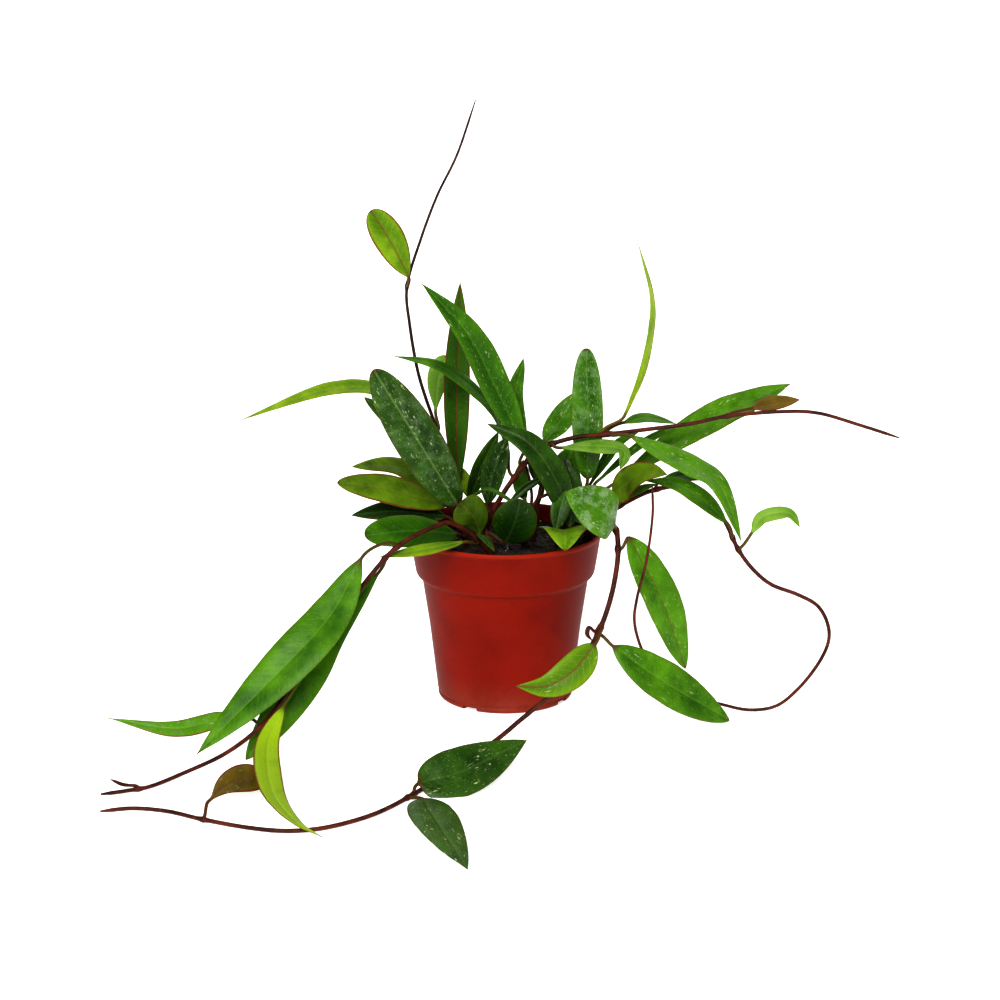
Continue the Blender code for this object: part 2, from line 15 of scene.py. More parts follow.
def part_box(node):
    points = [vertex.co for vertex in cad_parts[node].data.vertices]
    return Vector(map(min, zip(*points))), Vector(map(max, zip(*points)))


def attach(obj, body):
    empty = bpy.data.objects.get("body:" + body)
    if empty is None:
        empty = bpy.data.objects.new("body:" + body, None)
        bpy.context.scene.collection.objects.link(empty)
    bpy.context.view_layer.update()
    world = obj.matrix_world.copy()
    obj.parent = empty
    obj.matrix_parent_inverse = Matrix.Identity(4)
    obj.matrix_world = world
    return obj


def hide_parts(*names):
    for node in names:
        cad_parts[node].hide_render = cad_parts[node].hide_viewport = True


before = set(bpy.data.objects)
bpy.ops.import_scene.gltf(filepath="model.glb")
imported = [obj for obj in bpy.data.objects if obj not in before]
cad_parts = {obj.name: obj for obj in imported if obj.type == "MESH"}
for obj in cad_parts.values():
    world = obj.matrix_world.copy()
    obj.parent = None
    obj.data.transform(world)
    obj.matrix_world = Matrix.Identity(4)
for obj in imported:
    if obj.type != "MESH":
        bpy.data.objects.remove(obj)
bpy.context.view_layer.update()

MM = 0.001

# %% [markdown]
# ## Camera and light
# A product shot is taken from a little above with a long lens, so that the pot keeps its
# straight sides.  One very wide lamp, far away in front and above, gives soft light that is
# equally strong everywhere.  A dim sky only fills the shadows, because a bright one would
# mirror in the waxy leaves and wash out their green.  The floor glows a little, like a light
# table, so it stays pale.

# %% Camera
AIM = Vector((-0.003, 0.0, 0.113))
CAMERA_DISTANCE = 1.5
CAMERA_TILT = math.radians(15.5)
LENS = 96.95
SENSOR_WIDTH = 36.0


def link(item):
    bpy.context.scene.collection.objects.link(item)
    return item


camera_data = bpy.data.cameras.new("camera")
camera_data.lens = LENS
camera_data.sensor_width = SENSOR_WIDTH
camera = link(bpy.data.objects.new("camera", camera_data))
back = Vector((0.0, -math.cos(CAMERA_TILT), math.sin(CAMERA_TILT)))
camera.location = AIM + back * CAMERA_DISTANCE
camera.rotation_euler = (math.radians(90.0) - CAMERA_TILT, 0.0, 0.0)
bpy.context.scene.view_settings.view_transform = "Standard"
bpy.context.scene.view_settings.look = "High Contrast"
bpy.context.scene.camera = camera
print("camera at", tuple(round(value, 3) for value in camera.location))

# %% Soft lamp and sky
def wide_lamp(name, place, spread, power):
    """A far lamp as wide as this angle in degrees, shining from this side."""
    data = bpy.data.lights.new(name, "SUN")
    data.angle = math.radians(spread)
    data.energy = power
    item = link(bpy.data.objects.new(name, data))
    item.location = place
    item.rotation_euler = (AIM - Vector(place)).to_track_quat("-Z", "Y").to_euler()


wide_lamp("front_lamp", (-0.35, -1.3, 1.05), 35.0, 2.7)
wide_lamp("side_lamp", (1.4, -0.7, 0.9), 60.0, 0.35)
wide_lamp("back_lamp", (0.2, 1.3, 1.1), 60.0, 0.9)

world = bpy.data.worlds.new("studio")
world.use_nodes = True
sky = world.node_tree.nodes["Background"]
sky.inputs["Color"].default_value = (1.0, 1.0, 1.0, 1.0)
sky.inputs["Strength"].default_value = 0.16
bpy.context.scene.world = world


# %% [markdown]
# ## A short hand for node trees
# Materials and Geometry Nodes are wired the same way, so one small helper adds a node and
# feeds its inputs from numbers or from other nodes.  Sums that come up again and again have
# a plain word of their own.

# %% Node helper
class Graph:
    """Adds and wires nodes in one tree."""

    def __init__(self, tree):
        self.tree = tree

    def feed(self, socket, value):
        if isinstance(value, bpy.types.NodeSocket):
            self.tree.links.new(value, socket)
        else:
            socket.default_value = value

    def node(self, kind, inputs=None, **settings):
        """A new node with these settings, its inputs fed by their names or numbers."""
        made = self.tree.nodes.new(kind)
        for name, value in settings.items():
            setattr(made, name, value)
        for name, value in (inputs or {}).items():
            self.feed(made.inputs[name], value)
        return made

    def result(self, kind, inputs=None, **settings):
        """The first output of a new node."""
        return self.node(kind, inputs, **settings).outputs[0]

    def math(self, operation, *values):
        return self.result("ShaderNodeMath", dict(enumerate(values)), operation=operation)

    def times(self, product, *factors):
        for factor in factors:
            product = self.math("MULTIPLY", product, factor)
        return product

    def rest(self, share):
        """What is left of 1."""
        return self.math("SUBTRACT", 1.0, share)

    def slope(self, value, rise, start):
        """The value times rise, plus start."""
        return self.math("MULTIPLY_ADD", value, rise, start)

    def between(self, low, high, share):
        """Low where share is 0, high where it is 1."""
        return self.slope(self.math("SUBTRACT", high, low), share, low)

    def ramp(self, value, start, end):
        """0 below start, 1 above end, and a smooth step between them."""
        return self.result("ShaderNodeMapRange", {0: value, 1: start, 2: end},
                           interpolation_type="SMOOTHSTEP")

    def vector(self, operation, *values):
        return self.result("ShaderNodeVectorMath", dict(enumerate(values)), operation=operation)

    def scaled(self, vector, factor):
        return self.result("ShaderNodeVectorMath", {0: vector, 3: factor}, operation="SCALE")

    def split(self, vector):
        return tuple(self.node("ShaderNodeSeparateXYZ", {0: vector}).outputs)

    def join(self, *parts):
        return self.result("ShaderNodeCombineXYZ", dict(enumerate(parts)))

    def blur(self, vector, scale, detail=3.0, rough=0.5):
        """Noise from 0 to 1 on these coordinates."""
        return self.result("ShaderNodeTexNoise", {"Vector": vector, "Scale": scale,
                                                  "Detail": detail, "Roughness": rough})

    def shake(self, vector, scale, size):
        """A random push in every direction, up to half this size."""
        made = self.node("ShaderNodeTexNoise", {"Vector": vector, "Scale": scale})
        push = self.vector("SUBTRACT", made.outputs["Color"], (0.5, 0.5, 0.5))
        return self.scaled(push, size)

    def colour(self, low, high, share, strength=None):
        """Mix of two colours, with a weaker share where a strength is given."""
        if strength is not None:
            share = self.times(share, strength)
        made = self.node("ShaderNodeMix", {0: share}, data_type="RGBA")
        for index, value in ((6, low), (7, high)):
            self.feed(made.inputs[index], (*value, 1.0) if isinstance(value, tuple) else value)
        return made.outputs[2]


# %% Material helpers
def new_material(name, finish):
    """A material whose shader has these constants, with its helper and its shader."""
    material = bpy.data.materials.new(name)
    material.use_nodes = True
    shader = material.node_tree.nodes["Principled BSDF"]
    for socket, value in finish.items():
        shader.inputs[socket].default_value = value
    return material, Graph(material.node_tree), shader


def add_bump(graph, shader, height, distance, strength):
    bump = {"Strength": strength, "Distance": distance, "Height": height}
    graph.feed(shader.inputs["Normal"], graph.result("ShaderNodeBump", bump))


# %% [markdown]
# ## Floor
# The floor is only a stage, so it stays plain: one pale sheet far wider than the plant.

# %% Floor
FLOOR_SIZE = 12.0
FLOOR_FINISH = {
    "Base Color": (0.92, 0.92, 0.92, 1.0), "Roughness": 0.9, "Specular IOR Level": 0.0,
    "Emission Color": (1.0, 1.0, 1.0, 1.0), "Emission Strength": 0.45,
}


def mesh_object(name, shape):
    mesh = bpy.data.meshes.new(name)
    shape.to_mesh(mesh)
    shape.free()
    return link(bpy.data.objects.new(name, mesh))


floor_shape = bmesh.new()
bmesh.ops.create_grid(floor_shape, x_segments=1, y_segments=1, size=FLOOR_SIZE)
floor = mesh_object("floor", floor_shape)
floor.data.materials.append(new_material("floor_paper", FLOOR_FINISH)[0])
print("floor half width", FLOOR_SIZE, "m")

# %% [markdown]
# ## The pot's plastic
# Nursery pots are thin polypropylene in terracotta red.  The mould leaves a very fine grain,
# the colour drifts a little in soft clouds, the bead at the rim catches more light, so a painted
# highlight makes it lighter and more orange, and watering leaves a faint dull film low on the
# wall.

# %% Pot plastic
POT_RED = (0.205, 0.0100, 0.0022)
POT_DEEP = (0.160, 0.0070, 0.0016)
# lighter, more orange colour of the rim bead: a painted highlight
POT_RIM_HIGHLIGHT = (0.290, 0.0230, 0.0060)
POT_FILM = (0.30, 0.16, 0.10)
RIM_HIGHLIGHT_HEIGHTS = (0.0932, 0.0962)
FILM_HEIGHTS = (0.001, 0.022)
MOULD_RINGS = 5200.0


def pot_plastic():
    material, graph, shader = new_material("pot_plastic", {"Specular IOR Level": 0.12})
    place = graph.node("ShaderNodeTexCoord").outputs["Object"]
    height = graph.split(place)[2]
    clouds = graph.blur(place, 28.0, 4.0)
    body = graph.colour(POT_DEEP, POT_RED, graph.ramp(clouds, 0.30, 0.62))
    speck = graph.ramp(graph.blur(place, 420.0, 1.0), 0.62, 0.75)
    body = graph.colour(body, POT_DEEP, speck, 0.35)
    # painted highlight: the rim bead is made lighter and more orange where it catches the light
    body = graph.colour(body, POT_RIM_HIGHLIGHT, graph.ramp(height, *RIM_HIGHLIGHT_HEIGHTS), 0.8)
    film = graph.rest(graph.ramp(height, *FILM_HEIGHTS))
    film = graph.times(film, graph.blur(place, 90.0, 5.0, 0.7))
    graph.feed(shader.inputs["Base Color"], graph.colour(body, POT_FILM, film, 0.28))
    graph.feed(shader.inputs["Roughness"], graph.between(0.44, 0.58, clouds))
    grain = graph.blur(place, 1400.0, 2.0, 0.6)
    rings = graph.math("SINE", graph.times(height, MOULD_RINGS))
    add_bump(graph, shader, graph.slope(rings, 0.12, grain), 0.00012, 0.55)
    return material


POT_PLASTIC = pot_plastic()
print("made", POT_PLASTIC.name)

# %% [markdown]
# ## The pot
# The pot is a thin turned shell, so one closed outline goes through a Screw modifier.  The
# corners are rounded with short arcs first, because a moulded edge is never sharp.  Drain
# holes and the notches in the foot are then cut with a Boolean.

# %% Turned and cut shapes
def plain(item):
    """Turn the evaluated result into the object's own mesh and drop the modifiers."""
    graph = bpy.context.evaluated_depsgraph_get()
    mesh = bpy.data.meshes.new_from_object(item.evaluated_get(graph), depsgraph=graph)
    mesh.name = item.name
    old = item.data
    item.modifiers.clear()
    item.data = mesh
    bpy.data.meshes.remove(old)
    return item


def rounded(points, radius, steps=3):
    """The outline with each inner corner replaced by a short curve."""
    line = [points[0]]
    for before, corner, after in zip(points, points[1:], points[2:]):
        back_way = before - corner
        next_way = after - corner
        cut = min(radius, 0.45 * back_way.length, 0.45 * next_way.length)
        start = corner + back_way.normalized() * cut
        end = corner + next_way.normalized() * cut
        for index in range(steps + 1):
            t = index / steps
            line.append(start * (1 - t) ** 2 + corner * (2 * t * (1 - t)) + end * t ** 2)
    line.append(points[-1])
    return line


def turned(name, outline, steps):
    """A closed solid turned about +Z from an outline that starts and ends on the axis."""
    shape = bmesh.new()
    corners = [shape.verts.new((point.x, 0.0, point.y)) for point in outline]
    for first, second in zip(corners, corners[1:]):
        shape.edges.new((first, second))
    item = mesh_object(name, shape)
    screw = item.modifiers.new("Turn", "SCREW")
    screw.steps = steps
    screw.render_steps = steps
    screw.use_merge_vertices = True
    screw.merge_threshold = 0.00001
    return item


# %% Pot sizes
POT_WALL = 1.2 * MM
POT_STEPS = 144
FOOT_RADIUS = 37.6 * MM
PAD_RADIUS = 14.0 * MM
CHANNEL_RADIUS = 30.5 * MM
CHANNEL_HEIGHT = 3.0 * MM
DRAIN_HOLES = 8
NOTCHES = 4
NOTCH_WIDTH = 9.0 * MM
NOTCH_HEIGHT = 2.2 * MM
NOTCH_START = math.radians(238.0)
DRAIN_RADIUS = 2.6 * MM
DRAIN_DEPTH = 9.6 * MM
CORNER_RADIUS = 0.9 * MM
SHARP_ANGLE = math.radians(35.0)
RIM_INNER = [(52.8, 96.4), (53.3, 97.0)]
POT_OUTER = [
    (53.9, 97.0), (54.4, 96.4), (54.4, 94.8), (53.4, 93.8), (51.6, 82.0), (50.1, 73.0),
    (49.0, 71.2), (47.2, 70.4), (46.6, 69.2), (42.5, 42.0), (38.5, 7.5), (38.2, 4.6),
    (37.5, 3.8), (37.5, 3.0), (38.0, 2.2), (37.6, 0.6), (36.4, 0.0),
]


# %% Pot outline
def pot_outline():
    """Floor, inner wall up, rim, outer wall down, foot, drainage channel and pad."""
    rise = CHANNEL_HEIGHT + POT_WALL
    lean = 0.8 * POT_WALL
    wall = [(radius * MM - POT_WALL, height * MM) for radius, height in POT_OUTER[3:11]]
    points = [(0.0, POT_WALL), (PAD_RADIUS - lean, POT_WALL), (PAD_RADIUS + lean, rise)]
    points += [(CHANNEL_RADIUS - lean, rise), (CHANNEL_RADIUS + lean, POT_WALL)]
    points += [(FOOT_RADIUS - 2 * POT_WALL, POT_WALL), (FOOT_RADIUS - POT_WALL, 2 * POT_WALL)]
    points += wall[::-1]
    points += [(radius * MM, height * MM) for radius, height in RIM_INNER + POT_OUTER]
    points += [(CHANNEL_RADIUS, 0.0), (CHANNEL_RADIUS - lean, CHANNEL_HEIGHT)]
    points += [(PAD_RADIUS + lean, CHANNEL_HEIGHT), (PAD_RADIUS, 0.0), (0.0, 0.0)]
    return rounded([Vector(point) for point in points], CORNER_RADIUS)


# %% Drain holes and notches
def drain_cutter():
    shape = bmesh.new()
    ring = 0.5 * (PAD_RADIUS + CHANNEL_RADIUS)
    for index in range(DRAIN_HOLES):
        angle = NOTCH_START + 2 * math.pi * (index + 0.5) / DRAIN_HOLES
        hole = bmesh.ops.create_cone(shape, cap_ends=True, segments=28, radius1=DRAIN_RADIUS,
                                     radius2=DRAIN_RADIUS, depth=DRAIN_DEPTH)["verts"]
        place = (ring * math.cos(angle), ring * math.sin(angle), CHANNEL_HEIGHT)
        bmesh.ops.translate(shape, verts=hole, vec=place)
    reach = FOOT_RADIUS - CHANNEL_RADIUS + 4.0 * MM
    for index in range(NOTCHES):
        turn = Matrix.Rotation(NOTCH_START + 2 * math.pi * index / NOTCHES, 4, "Z")
        place = Matrix.Translation((FOOT_RADIUS - 0.1 * reach, 0.0, 0.0))
        size = Matrix.Diagonal((reach, NOTCH_WIDTH, 2.0 * NOTCH_HEIGHT, 1.0))
        bmesh.ops.create_cube(shape, size=1.0, matrix=turn @ place @ size)
    return mesh_object("drain_cutter", shape)


# %% Build the pot
def finish_piece(item, node):
    """The piece stands for a CAD node and moves with the body."""
    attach(item, "root")
    if node:
        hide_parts(node)


def make_pot():
    pot = turned("nursery_pot", pot_outline(), POT_STEPS)
    cutter = drain_cutter()
    cut = pot.modifiers.new("Drain", "BOOLEAN")
    cut.operation = "DIFFERENCE"
    cut.object = cutter
    plain(pot)
    bpy.data.objects.remove(cutter, do_unlink=True)
    pot.data.materials.clear()
    pot.data.materials.append(POT_PLASTIC)
    pot.data.shade_smooth()
    pot.data.set_sharp_from_angle(angle=SHARP_ANGLE)
    finish_piece(pot, "pot")
    return pot


pot = make_pot()
print("pot faces", len(pot.data.polygons))

# %% [markdown]
# ## Potting mix
# The mix is dark peat with bark crumbs and a little perlite.  A lumpy mound gives the
# ground, and Geometry Nodes scatter crumbs over it: points on its upper faces carry small
# squashed balls of random size and turn, which a last noise step breaks into crumbs.

# %% Potting mix finish
def soil_material(name, dark, light, rough):
    material, graph, shader = new_material(name, {"Roughness": rough})
    place = graph.node("ShaderNodeTexCoord").outputs["Object"]
    lumps = graph.ramp(graph.blur(place, 240.0, 4.0, 0.6), 0.35, 0.7)
    graph.feed(shader.inputs["Base Color"], graph.colour(dark, light, lumps))
    add_bump(graph, shader, graph.blur(place, 900.0, 4.0, 0.65), 0.0006, 0.8)
    return material


PEAT = soil_material("peat", (0.006, 0.004, 0.003), (0.030, 0.018, 0.010), 0.92)
CRUMB = soil_material("bark_crumb", (0.010, 0.006, 0.004), (0.060, 0.034, 0.018), 0.88)
PERLITE = soil_material("perlite", (0.30, 0.27, 0.21), (0.62, 0.58, 0.48), 0.85)
print("made", ", ".join(material.name for material in (PEAT, CRUMB, PERLITE)))

# %% Build the mix
SOIL_TOP = 88.0 * MM
SOIL_GAP = 0.5 * MM
SOIL_LIMIT = 86.5 * MM
SOIL_RINGS = 40
SOIL_STEPS = 120
SOIL_LUMPS = 110.0            # lumps of noise to the metre


def make_soil():
    """A turned plug of mix whose upper side is then lifted and dented by noise."""
    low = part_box("potting_mix")[0]
    inset = POT_WALL + SOIL_GAP
    side = [(radius * MM - inset, height * MM) for radius, height in POT_OUTER[4:11]]
    edge = side[0][0]
    level = SOIL_TOP - 0.4 * MM
    rings = [Vector((edge * index / SOIL_RINGS, level)) for index in range(SOIL_RINGS + 1)]
    rings += [Vector(point) for point in side]
    rings += [Vector((side[-1][0] - 1.5 * MM, low.z)), Vector((0.0, low.z))]
    soil = plain(turned("potting_mix_plug", rings, SOIL_STEPS))
    for corner in soil.data.vertices:
        if corner.co.z > SOIL_LIMIT:
            spot = corner.co * SOIL_LUMPS
            lift = noise.noise(spot) * 1.1 + noise.noise(spot * 3.1) * 0.5
            corner.co.z += min(lift, 0.9) * MM
    soil.data.materials.clear()
    soil.data.materials.append(PEAT)
    soil.data.shade_smooth()
    return soil


soil = make_soil()
print("soil faces", len(soil.data.polygons))


# %% Geometry Nodes helpers
def new_tree(name, numbers, whole=()):
    """A Geometry Nodes tree with a geometry, named numbers and a material going in."""
    tree = bpy.data.node_groups.new(name, "GeometryNodeTree")
    face = tree.interface
    face.new_socket("Geometry", in_out="INPUT", socket_type="NodeSocketGeometry")
    for label, value in numbers.items():
        kind = "NodeSocketInt" if label in whole else "NodeSocketFloat"
        face.new_socket(label, in_out="INPUT", socket_type=kind).default_value = value
    face.new_socket("Material", in_out="INPUT", socket_type="NodeSocketMaterial")
    face.new_socket("Geometry", in_out="OUTPUT", socket_type="NodeSocketGeometry")
    graph = Graph(tree)
    return graph, graph.node("NodeGroupInput").outputs


def end_tree(graph, shape, material):
    """Every tree ends the same way: smooth, real geometry with its material."""
    smooth = graph.result("GeometryNodeSetShadeSmooth", {"Geometry": shape})
    real = graph.result("GeometryNodeRealizeInstances", {0: smooth})
    paint = {"Geometry": real, "Material": material}
    graph.node("NodeGroupOutput", {0: graph.result("GeometryNodeSetMaterial", paint)})
    return graph.tree


def grow(item, tree, **values):
    """Run a tree on the object with these inputs and keep the result as a plain mesh."""
    growth = item.modifiers.new("Growth", "NODES")
    growth.node_group = tree
    for socket in tree.interface.items_tree:
        label = socket.name.replace(" ", "_").lower()
        if socket.in_out == "INPUT" and label in values:
            growth[socket.identifier] = values[label]
    return plain(item)


# %% Crumb tree
def crumb_tree():
    numbers = {"Density": 150000.0, "Small": 0.5 * MM, "Large": 1.8 * MM, "Seed": 1,
               "Lowest": SOIL_LIMIT}
    graph, given = new_tree("crumbs", numbers, whole=("Seed",))
    place = graph.result("GeometryNodeInputPosition")
    facing = graph.split(graph.result("GeometryNodeInputNormal"))[2]
    upward = graph.math("GREATER_THAN", facing, 0.3)
    above = graph.math("GREATER_THAN", graph.split(place)[2], given["Lowest"])
    points = graph.result("GeometryNodeDistributePointsOnFaces", {
        "Mesh": given["Geometry"], "Selection": graph.times(upward, above),
        "Density": given["Density"], "Seed": given["Seed"]})
    ball = graph.result("GeometryNodeMeshIcoSphere", {"Radius": 1.0, "Subdivisions": 2})
    turn = graph.result("FunctionNodeRandomValue", {
        1: (6.28, 6.28, 6.28), "Seed": given["Seed"]}, data_type="FLOAT_VECTOR")
    size = graph.node("FunctionNodeRandomValue", {
        2: given["Small"], 3: given["Large"],
        "Seed": graph.math("ADD", given["Seed"], 7.0)}, data_type="FLOAT").outputs[1]
    squash = graph.result("FunctionNodeRandomValue", {
        0: (0.5, 0.4, 0.3), 1: (1.2, 0.9, 0.6),
        "Seed": graph.math("ADD", given["Seed"], 3.0)}, data_type="FLOAT_VECTOR")
    balls = graph.result("GeometryNodeInstanceOnPoints", {
        "Points": points, "Instance": ball, "Rotation": turn,
        "Scale": graph.scaled(squash, size)})
    real = graph.result("GeometryNodeRealizeInstances", {0: balls})
    crumbs = graph.result("GeometryNodeSetPosition", {
        "Geometry": real, "Offset": graph.shake(place, 900.0, 0.9 * MM)})
    return end_tree(graph, crumbs, given["Material"])


CRUMBS = crumb_tree()
print("crumb tree nodes", len(CRUMBS.nodes))


# %% Scatter the crumbs
def scatter_crumbs(name, **values):
    item = link(bpy.data.objects.new(name, soil.data.copy()))
    grow(item, CRUMBS, **values)
    print(name, len(item.data.polygons), "faces")
    return item


crumbs = scatter_crumbs("peat_crumbs", density=150000.0, seed=4, material=CRUMB)
perlite = scatter_crumbs("perlite_grains", density=5200.0, small=0.4 * MM, large=1.0 * MM,
                         seed=11, material=PERLITE)
finish_piece(soil, "potting_mix")
finish_piece(crumbs, None)
finish_piece(perlite, None)

# %% [markdown]
# ## Routes of the stems
# Each stem roots in the mix and follows a smooth curve.  The route's own points are a short
# list in millimetres, and a Catmull-Rom curve runs through them.  The first height is where
# the stem leaves the mix.

# %% Stem routes
STEM_START = 1.2 * MM
SOCKET_DEPTH = 16.0 * MM
GAP = 0.3 * MM
STEMS = {
    "vine_upright": (1.1, 0.6, [
        (-22, 4, 0), (-27, 7, 117), (-38, 11, 150), (-48, 13, 181), (-53, 13, 211),
        (-54, 12, 232), (-46, 8, 259), (-37, 4, 283), (-26, 0, 306), (-16, -8, 336),
    ]),
    "vine_right": (1.5, 0.9, [
        (-12, -5, 0), (-8, -8, 106), (-1, -7, 119), (5, -4, 127), (13, 1, 136), (23, 4, 143),
        (39, 4, 148), (54, 2, 150), (78, -2, 154), (102, -5, 158), (122, -8, 163),
        (150, -10, 166), (171, -11, 165.5), (194, -12, 159), (216, -13, 152),
    ]),
    "vine_left": (1.4, 1.0, [
        (-8, -26, 0), (-15, -29, 98), (-23, -34, 106), (-31, -39, 111), (-38, -46, 111),
        (-49, -54, 108), (-60, -60, 102), (-71, -66, 91), (-81, -72, 79), (-98, -86, 58),
        (-113, -97, 38), (-129, -110, 20), (-147, -122, 9), (-169, -135, 2.5),
        (-183, -149, 1.4), (-194, -155, 1.4), (-207, -160, 1.4),
    ]),
    "vine_front": (1.5, 1.0, [
        (44, -12, 0), (50, -20, 106), (55, -30, 111), (60, -40, 107), (61, -46, 98),
        (60, -51, 88), (57, -56, 74), (52, -61, 60), (45, -68, 48), (33, -79, 33),
        (19, -86, 24), (8, -90, 16), (-4, -97, 8), (-21, -115, 2), (-47, -160, 1.6),
        (-66, -187, 1.6), (-88, -204, 1.6), (-107, -209, 1.6), (-127, -205, 1.6),
        (-151, -194, 1.5), (-170, -183, 1.4), (-188, -179, 1.4), (-204, -183, 1.4),
    ]),
    "vine_loop": (1.3, 0.7, [
        (44, 3, 0), (53, 1, 103), (65, -2, 111), (82, -5, 120), (102, -8, 123),
        (115, -14, 115), (122, -20, 104), (128, -26, 92), (136, -31, 82), (146, -33, 74),
        (160, -35, 69), (171, -36, 63), (177, -36, 53), (178, -36, 42), (173, -35, 29),
        (163, -35, 15), (151, -34, 4), (136, -34, 1.4), (120, -35, 5), (103, -40, 12),
        (88, -47, 24), (76, -54, 40), (70, -58, 59), (71, -58, 74), (76, -56, 95),
        (79, -52, 118), (79, -46, 134),
    ]),
    "cutting_left": (1.4, 0.9, [
        (-22, -7, 0), (-24, -6, 104), (-28, -2, 116), (-34, 2, 128), (-40, 4, 138),
    ]),
    "cutting_front": (1.3, 0.9, [
        (-6, -17, 0), (-10, -16, 98), (-16, -15, 106), (-22, -14, 111),
    ]),
    "cutting_back_left": (1.2, 0.8, [
        (-26, 15, 0), (-26, 15, 98), (-25.5, 14, 110),
    ]),
    "cutting_centre": (1.2, 0.8, [
        (28, -10, 0), (30, -12, 98), (32, -15, 108),
    ]),
    "cutting_right": (1.4, 0.9, [
        (38, 10, 0), (41, 11, 100), (45, 12, 118),
    ]),
}


# %% Inner stem routes
# young shoots in the thick of the plant, too fine to be solids of their own
INNER_STEMS = {
    "inner_stem_1": (1.0, 0.7, [(11, 0, 0), (14.5, 2, 110), (14, 3, 121), (11, 5, 134)]),
    "inner_stem_2": (1.1, 0.7, [(16, 3, 0), (18.5, 6, 111), (20.5, 8, 121), (27, 10, 130)]),
    "inner_stem_3": (1.1, 0.8, [(10, -6, 0), (16, -3, 111), (22.5, -4, 117), (32, -6, 120)]),
}
EVERY_STEM = {**STEMS, **INNER_STEMS}
print("stems", len(STEMS), "and", len(INNER_STEMS), "inner ones")


# %% Curves along the routes
def smooth_route(points, steps):
    """Points along a Catmull-Rom curve through the given points."""
    ends = [points[0] * 2 - points[1]] + points + [points[-1] * 2 - points[-2]]
    route = []
    for before, start, end, after in zip(ends, ends[1:], ends[2:], ends[3:]):
        for index in range(steps):
            t = index / steps
            bend = (start * 2 + (end - before) * t
                    + (before * 2 - start * 5 + end * 4 - after) * t ** 2
                    + (start * 3 - before - end * 3 + after) * t ** 3)
            route.append(bend * 0.5)
    route.append(points[-1])
    return route


def stem_line(name, steps=14):
    """Fine centre line of a stem, with its tapering radius at each point."""
    root, tip, route = EVERY_STEM[name]
    points = [Vector(place) * MM for place in route]
    points[0].z = SOIL_TOP + STEM_START
    line = smooth_route(points, steps)
    last = len(line) - 1
    radii = [(root + (tip - root) * index / last) * MM for index in range(len(line))]
    return line, radii


def stem_node(stem, place):
    """Point, direction and radius of the stem where it passes nearest to the place."""
    line, radii = stem_line(stem)
    nearest = min(range(1, len(line) - 1), key=lambda index: (line[index] - place).length)
    run = (line[nearest + 1] - line[nearest - 1]).normalized()
    return line[nearest], run, radii[nearest]


print("route points", sum(len(stem_line(name)[0]) for name in EVERY_STEM))


# %% [markdown]
# ## Bark
# A wax plant's stems are thin and turn woody: red-brown, paler where the skin has dried and
# cracked, with fine lines along their length and small pale pores.

# %% Bark
def bark(name, dark, light):
    material, graph, shader = new_material(name, {"Specular IOR Level": 0.20})
    place = graph.node("ShaderNodeTexCoord").outputs["Object"]
    patches = graph.ramp(graph.blur(place, 95.0, 5.0, 0.6), 0.35, 0.68)
    pores = graph.ramp(graph.blur(place, 1300.0, 2.0), 0.66, 0.74)
    skin = graph.colour(dark, light, patches)
    skin = graph.colour(skin, (0.26, 0.13, 0.07), pores, 0.35)
    graph.feed(shader.inputs["Base Color"], skin)
    graph.feed(shader.inputs["Roughness"], graph.between(0.48, 0.66, patches))
    add_bump(graph, shader, graph.blur(place, 1100.0, 4.0, 0.6), 0.00025, 0.7)
    return material


BARK = {
    "brown": bark("stem_bark_brown", (0.038, 0.0085, 0.0050), (0.120, 0.026, 0.012)),
    "dark": bark("stem_bark_dark", (0.016, 0.0070, 0.0050), (0.050, 0.020, 0.011)),
}
print("made", ", ".join(material.name for material in BARK.values()))

# %% [markdown]
# ## Leaves and where they sit
# The leaves are listed stem by stem, and numbered within each part of the plant.  A leaf's row
# gives the place of its node on the stem, the points along its midrib from the blade's base to
# its tip, its width, which way the upper side faces (at the base and at the tip, where they
# differ), its fold, how round its base and tip are (0.5 round, 1 pointed) and its kind.

# %% Leaf list
LEAVES = []


def add_leaves(group, stem, rows):
    """Give these rows the leaf's own name and its stem, and add them to the list."""
    count = sum(row[0].startswith(f"leaf_{group}_") for row in LEAVES)
    for number, row in enumerate(rows, count + 1):
        LEAVES.append((f"leaf_{group}_{number}", stem, *row))
    print(stem, "carries", len(rows), "leaves")


# %% Leaves of the upright stem
add_leaves("upright", "vine_upright", [
    ((-39, 11, 150), [(-39, 16, 160), (-38, 20, 176), (-33, 24, 190)], 13, [(0.2, -1, 0.3)], 10,
     1.1, 0.5, "pale"),
    ((-54, 12, 232), [(-53, 6, 238), (-62, 3, 257), (-73, 4, 275)], 18, [(0.3, -1, 0.2)], 12, 0.75,
     0.5, "young"),
])

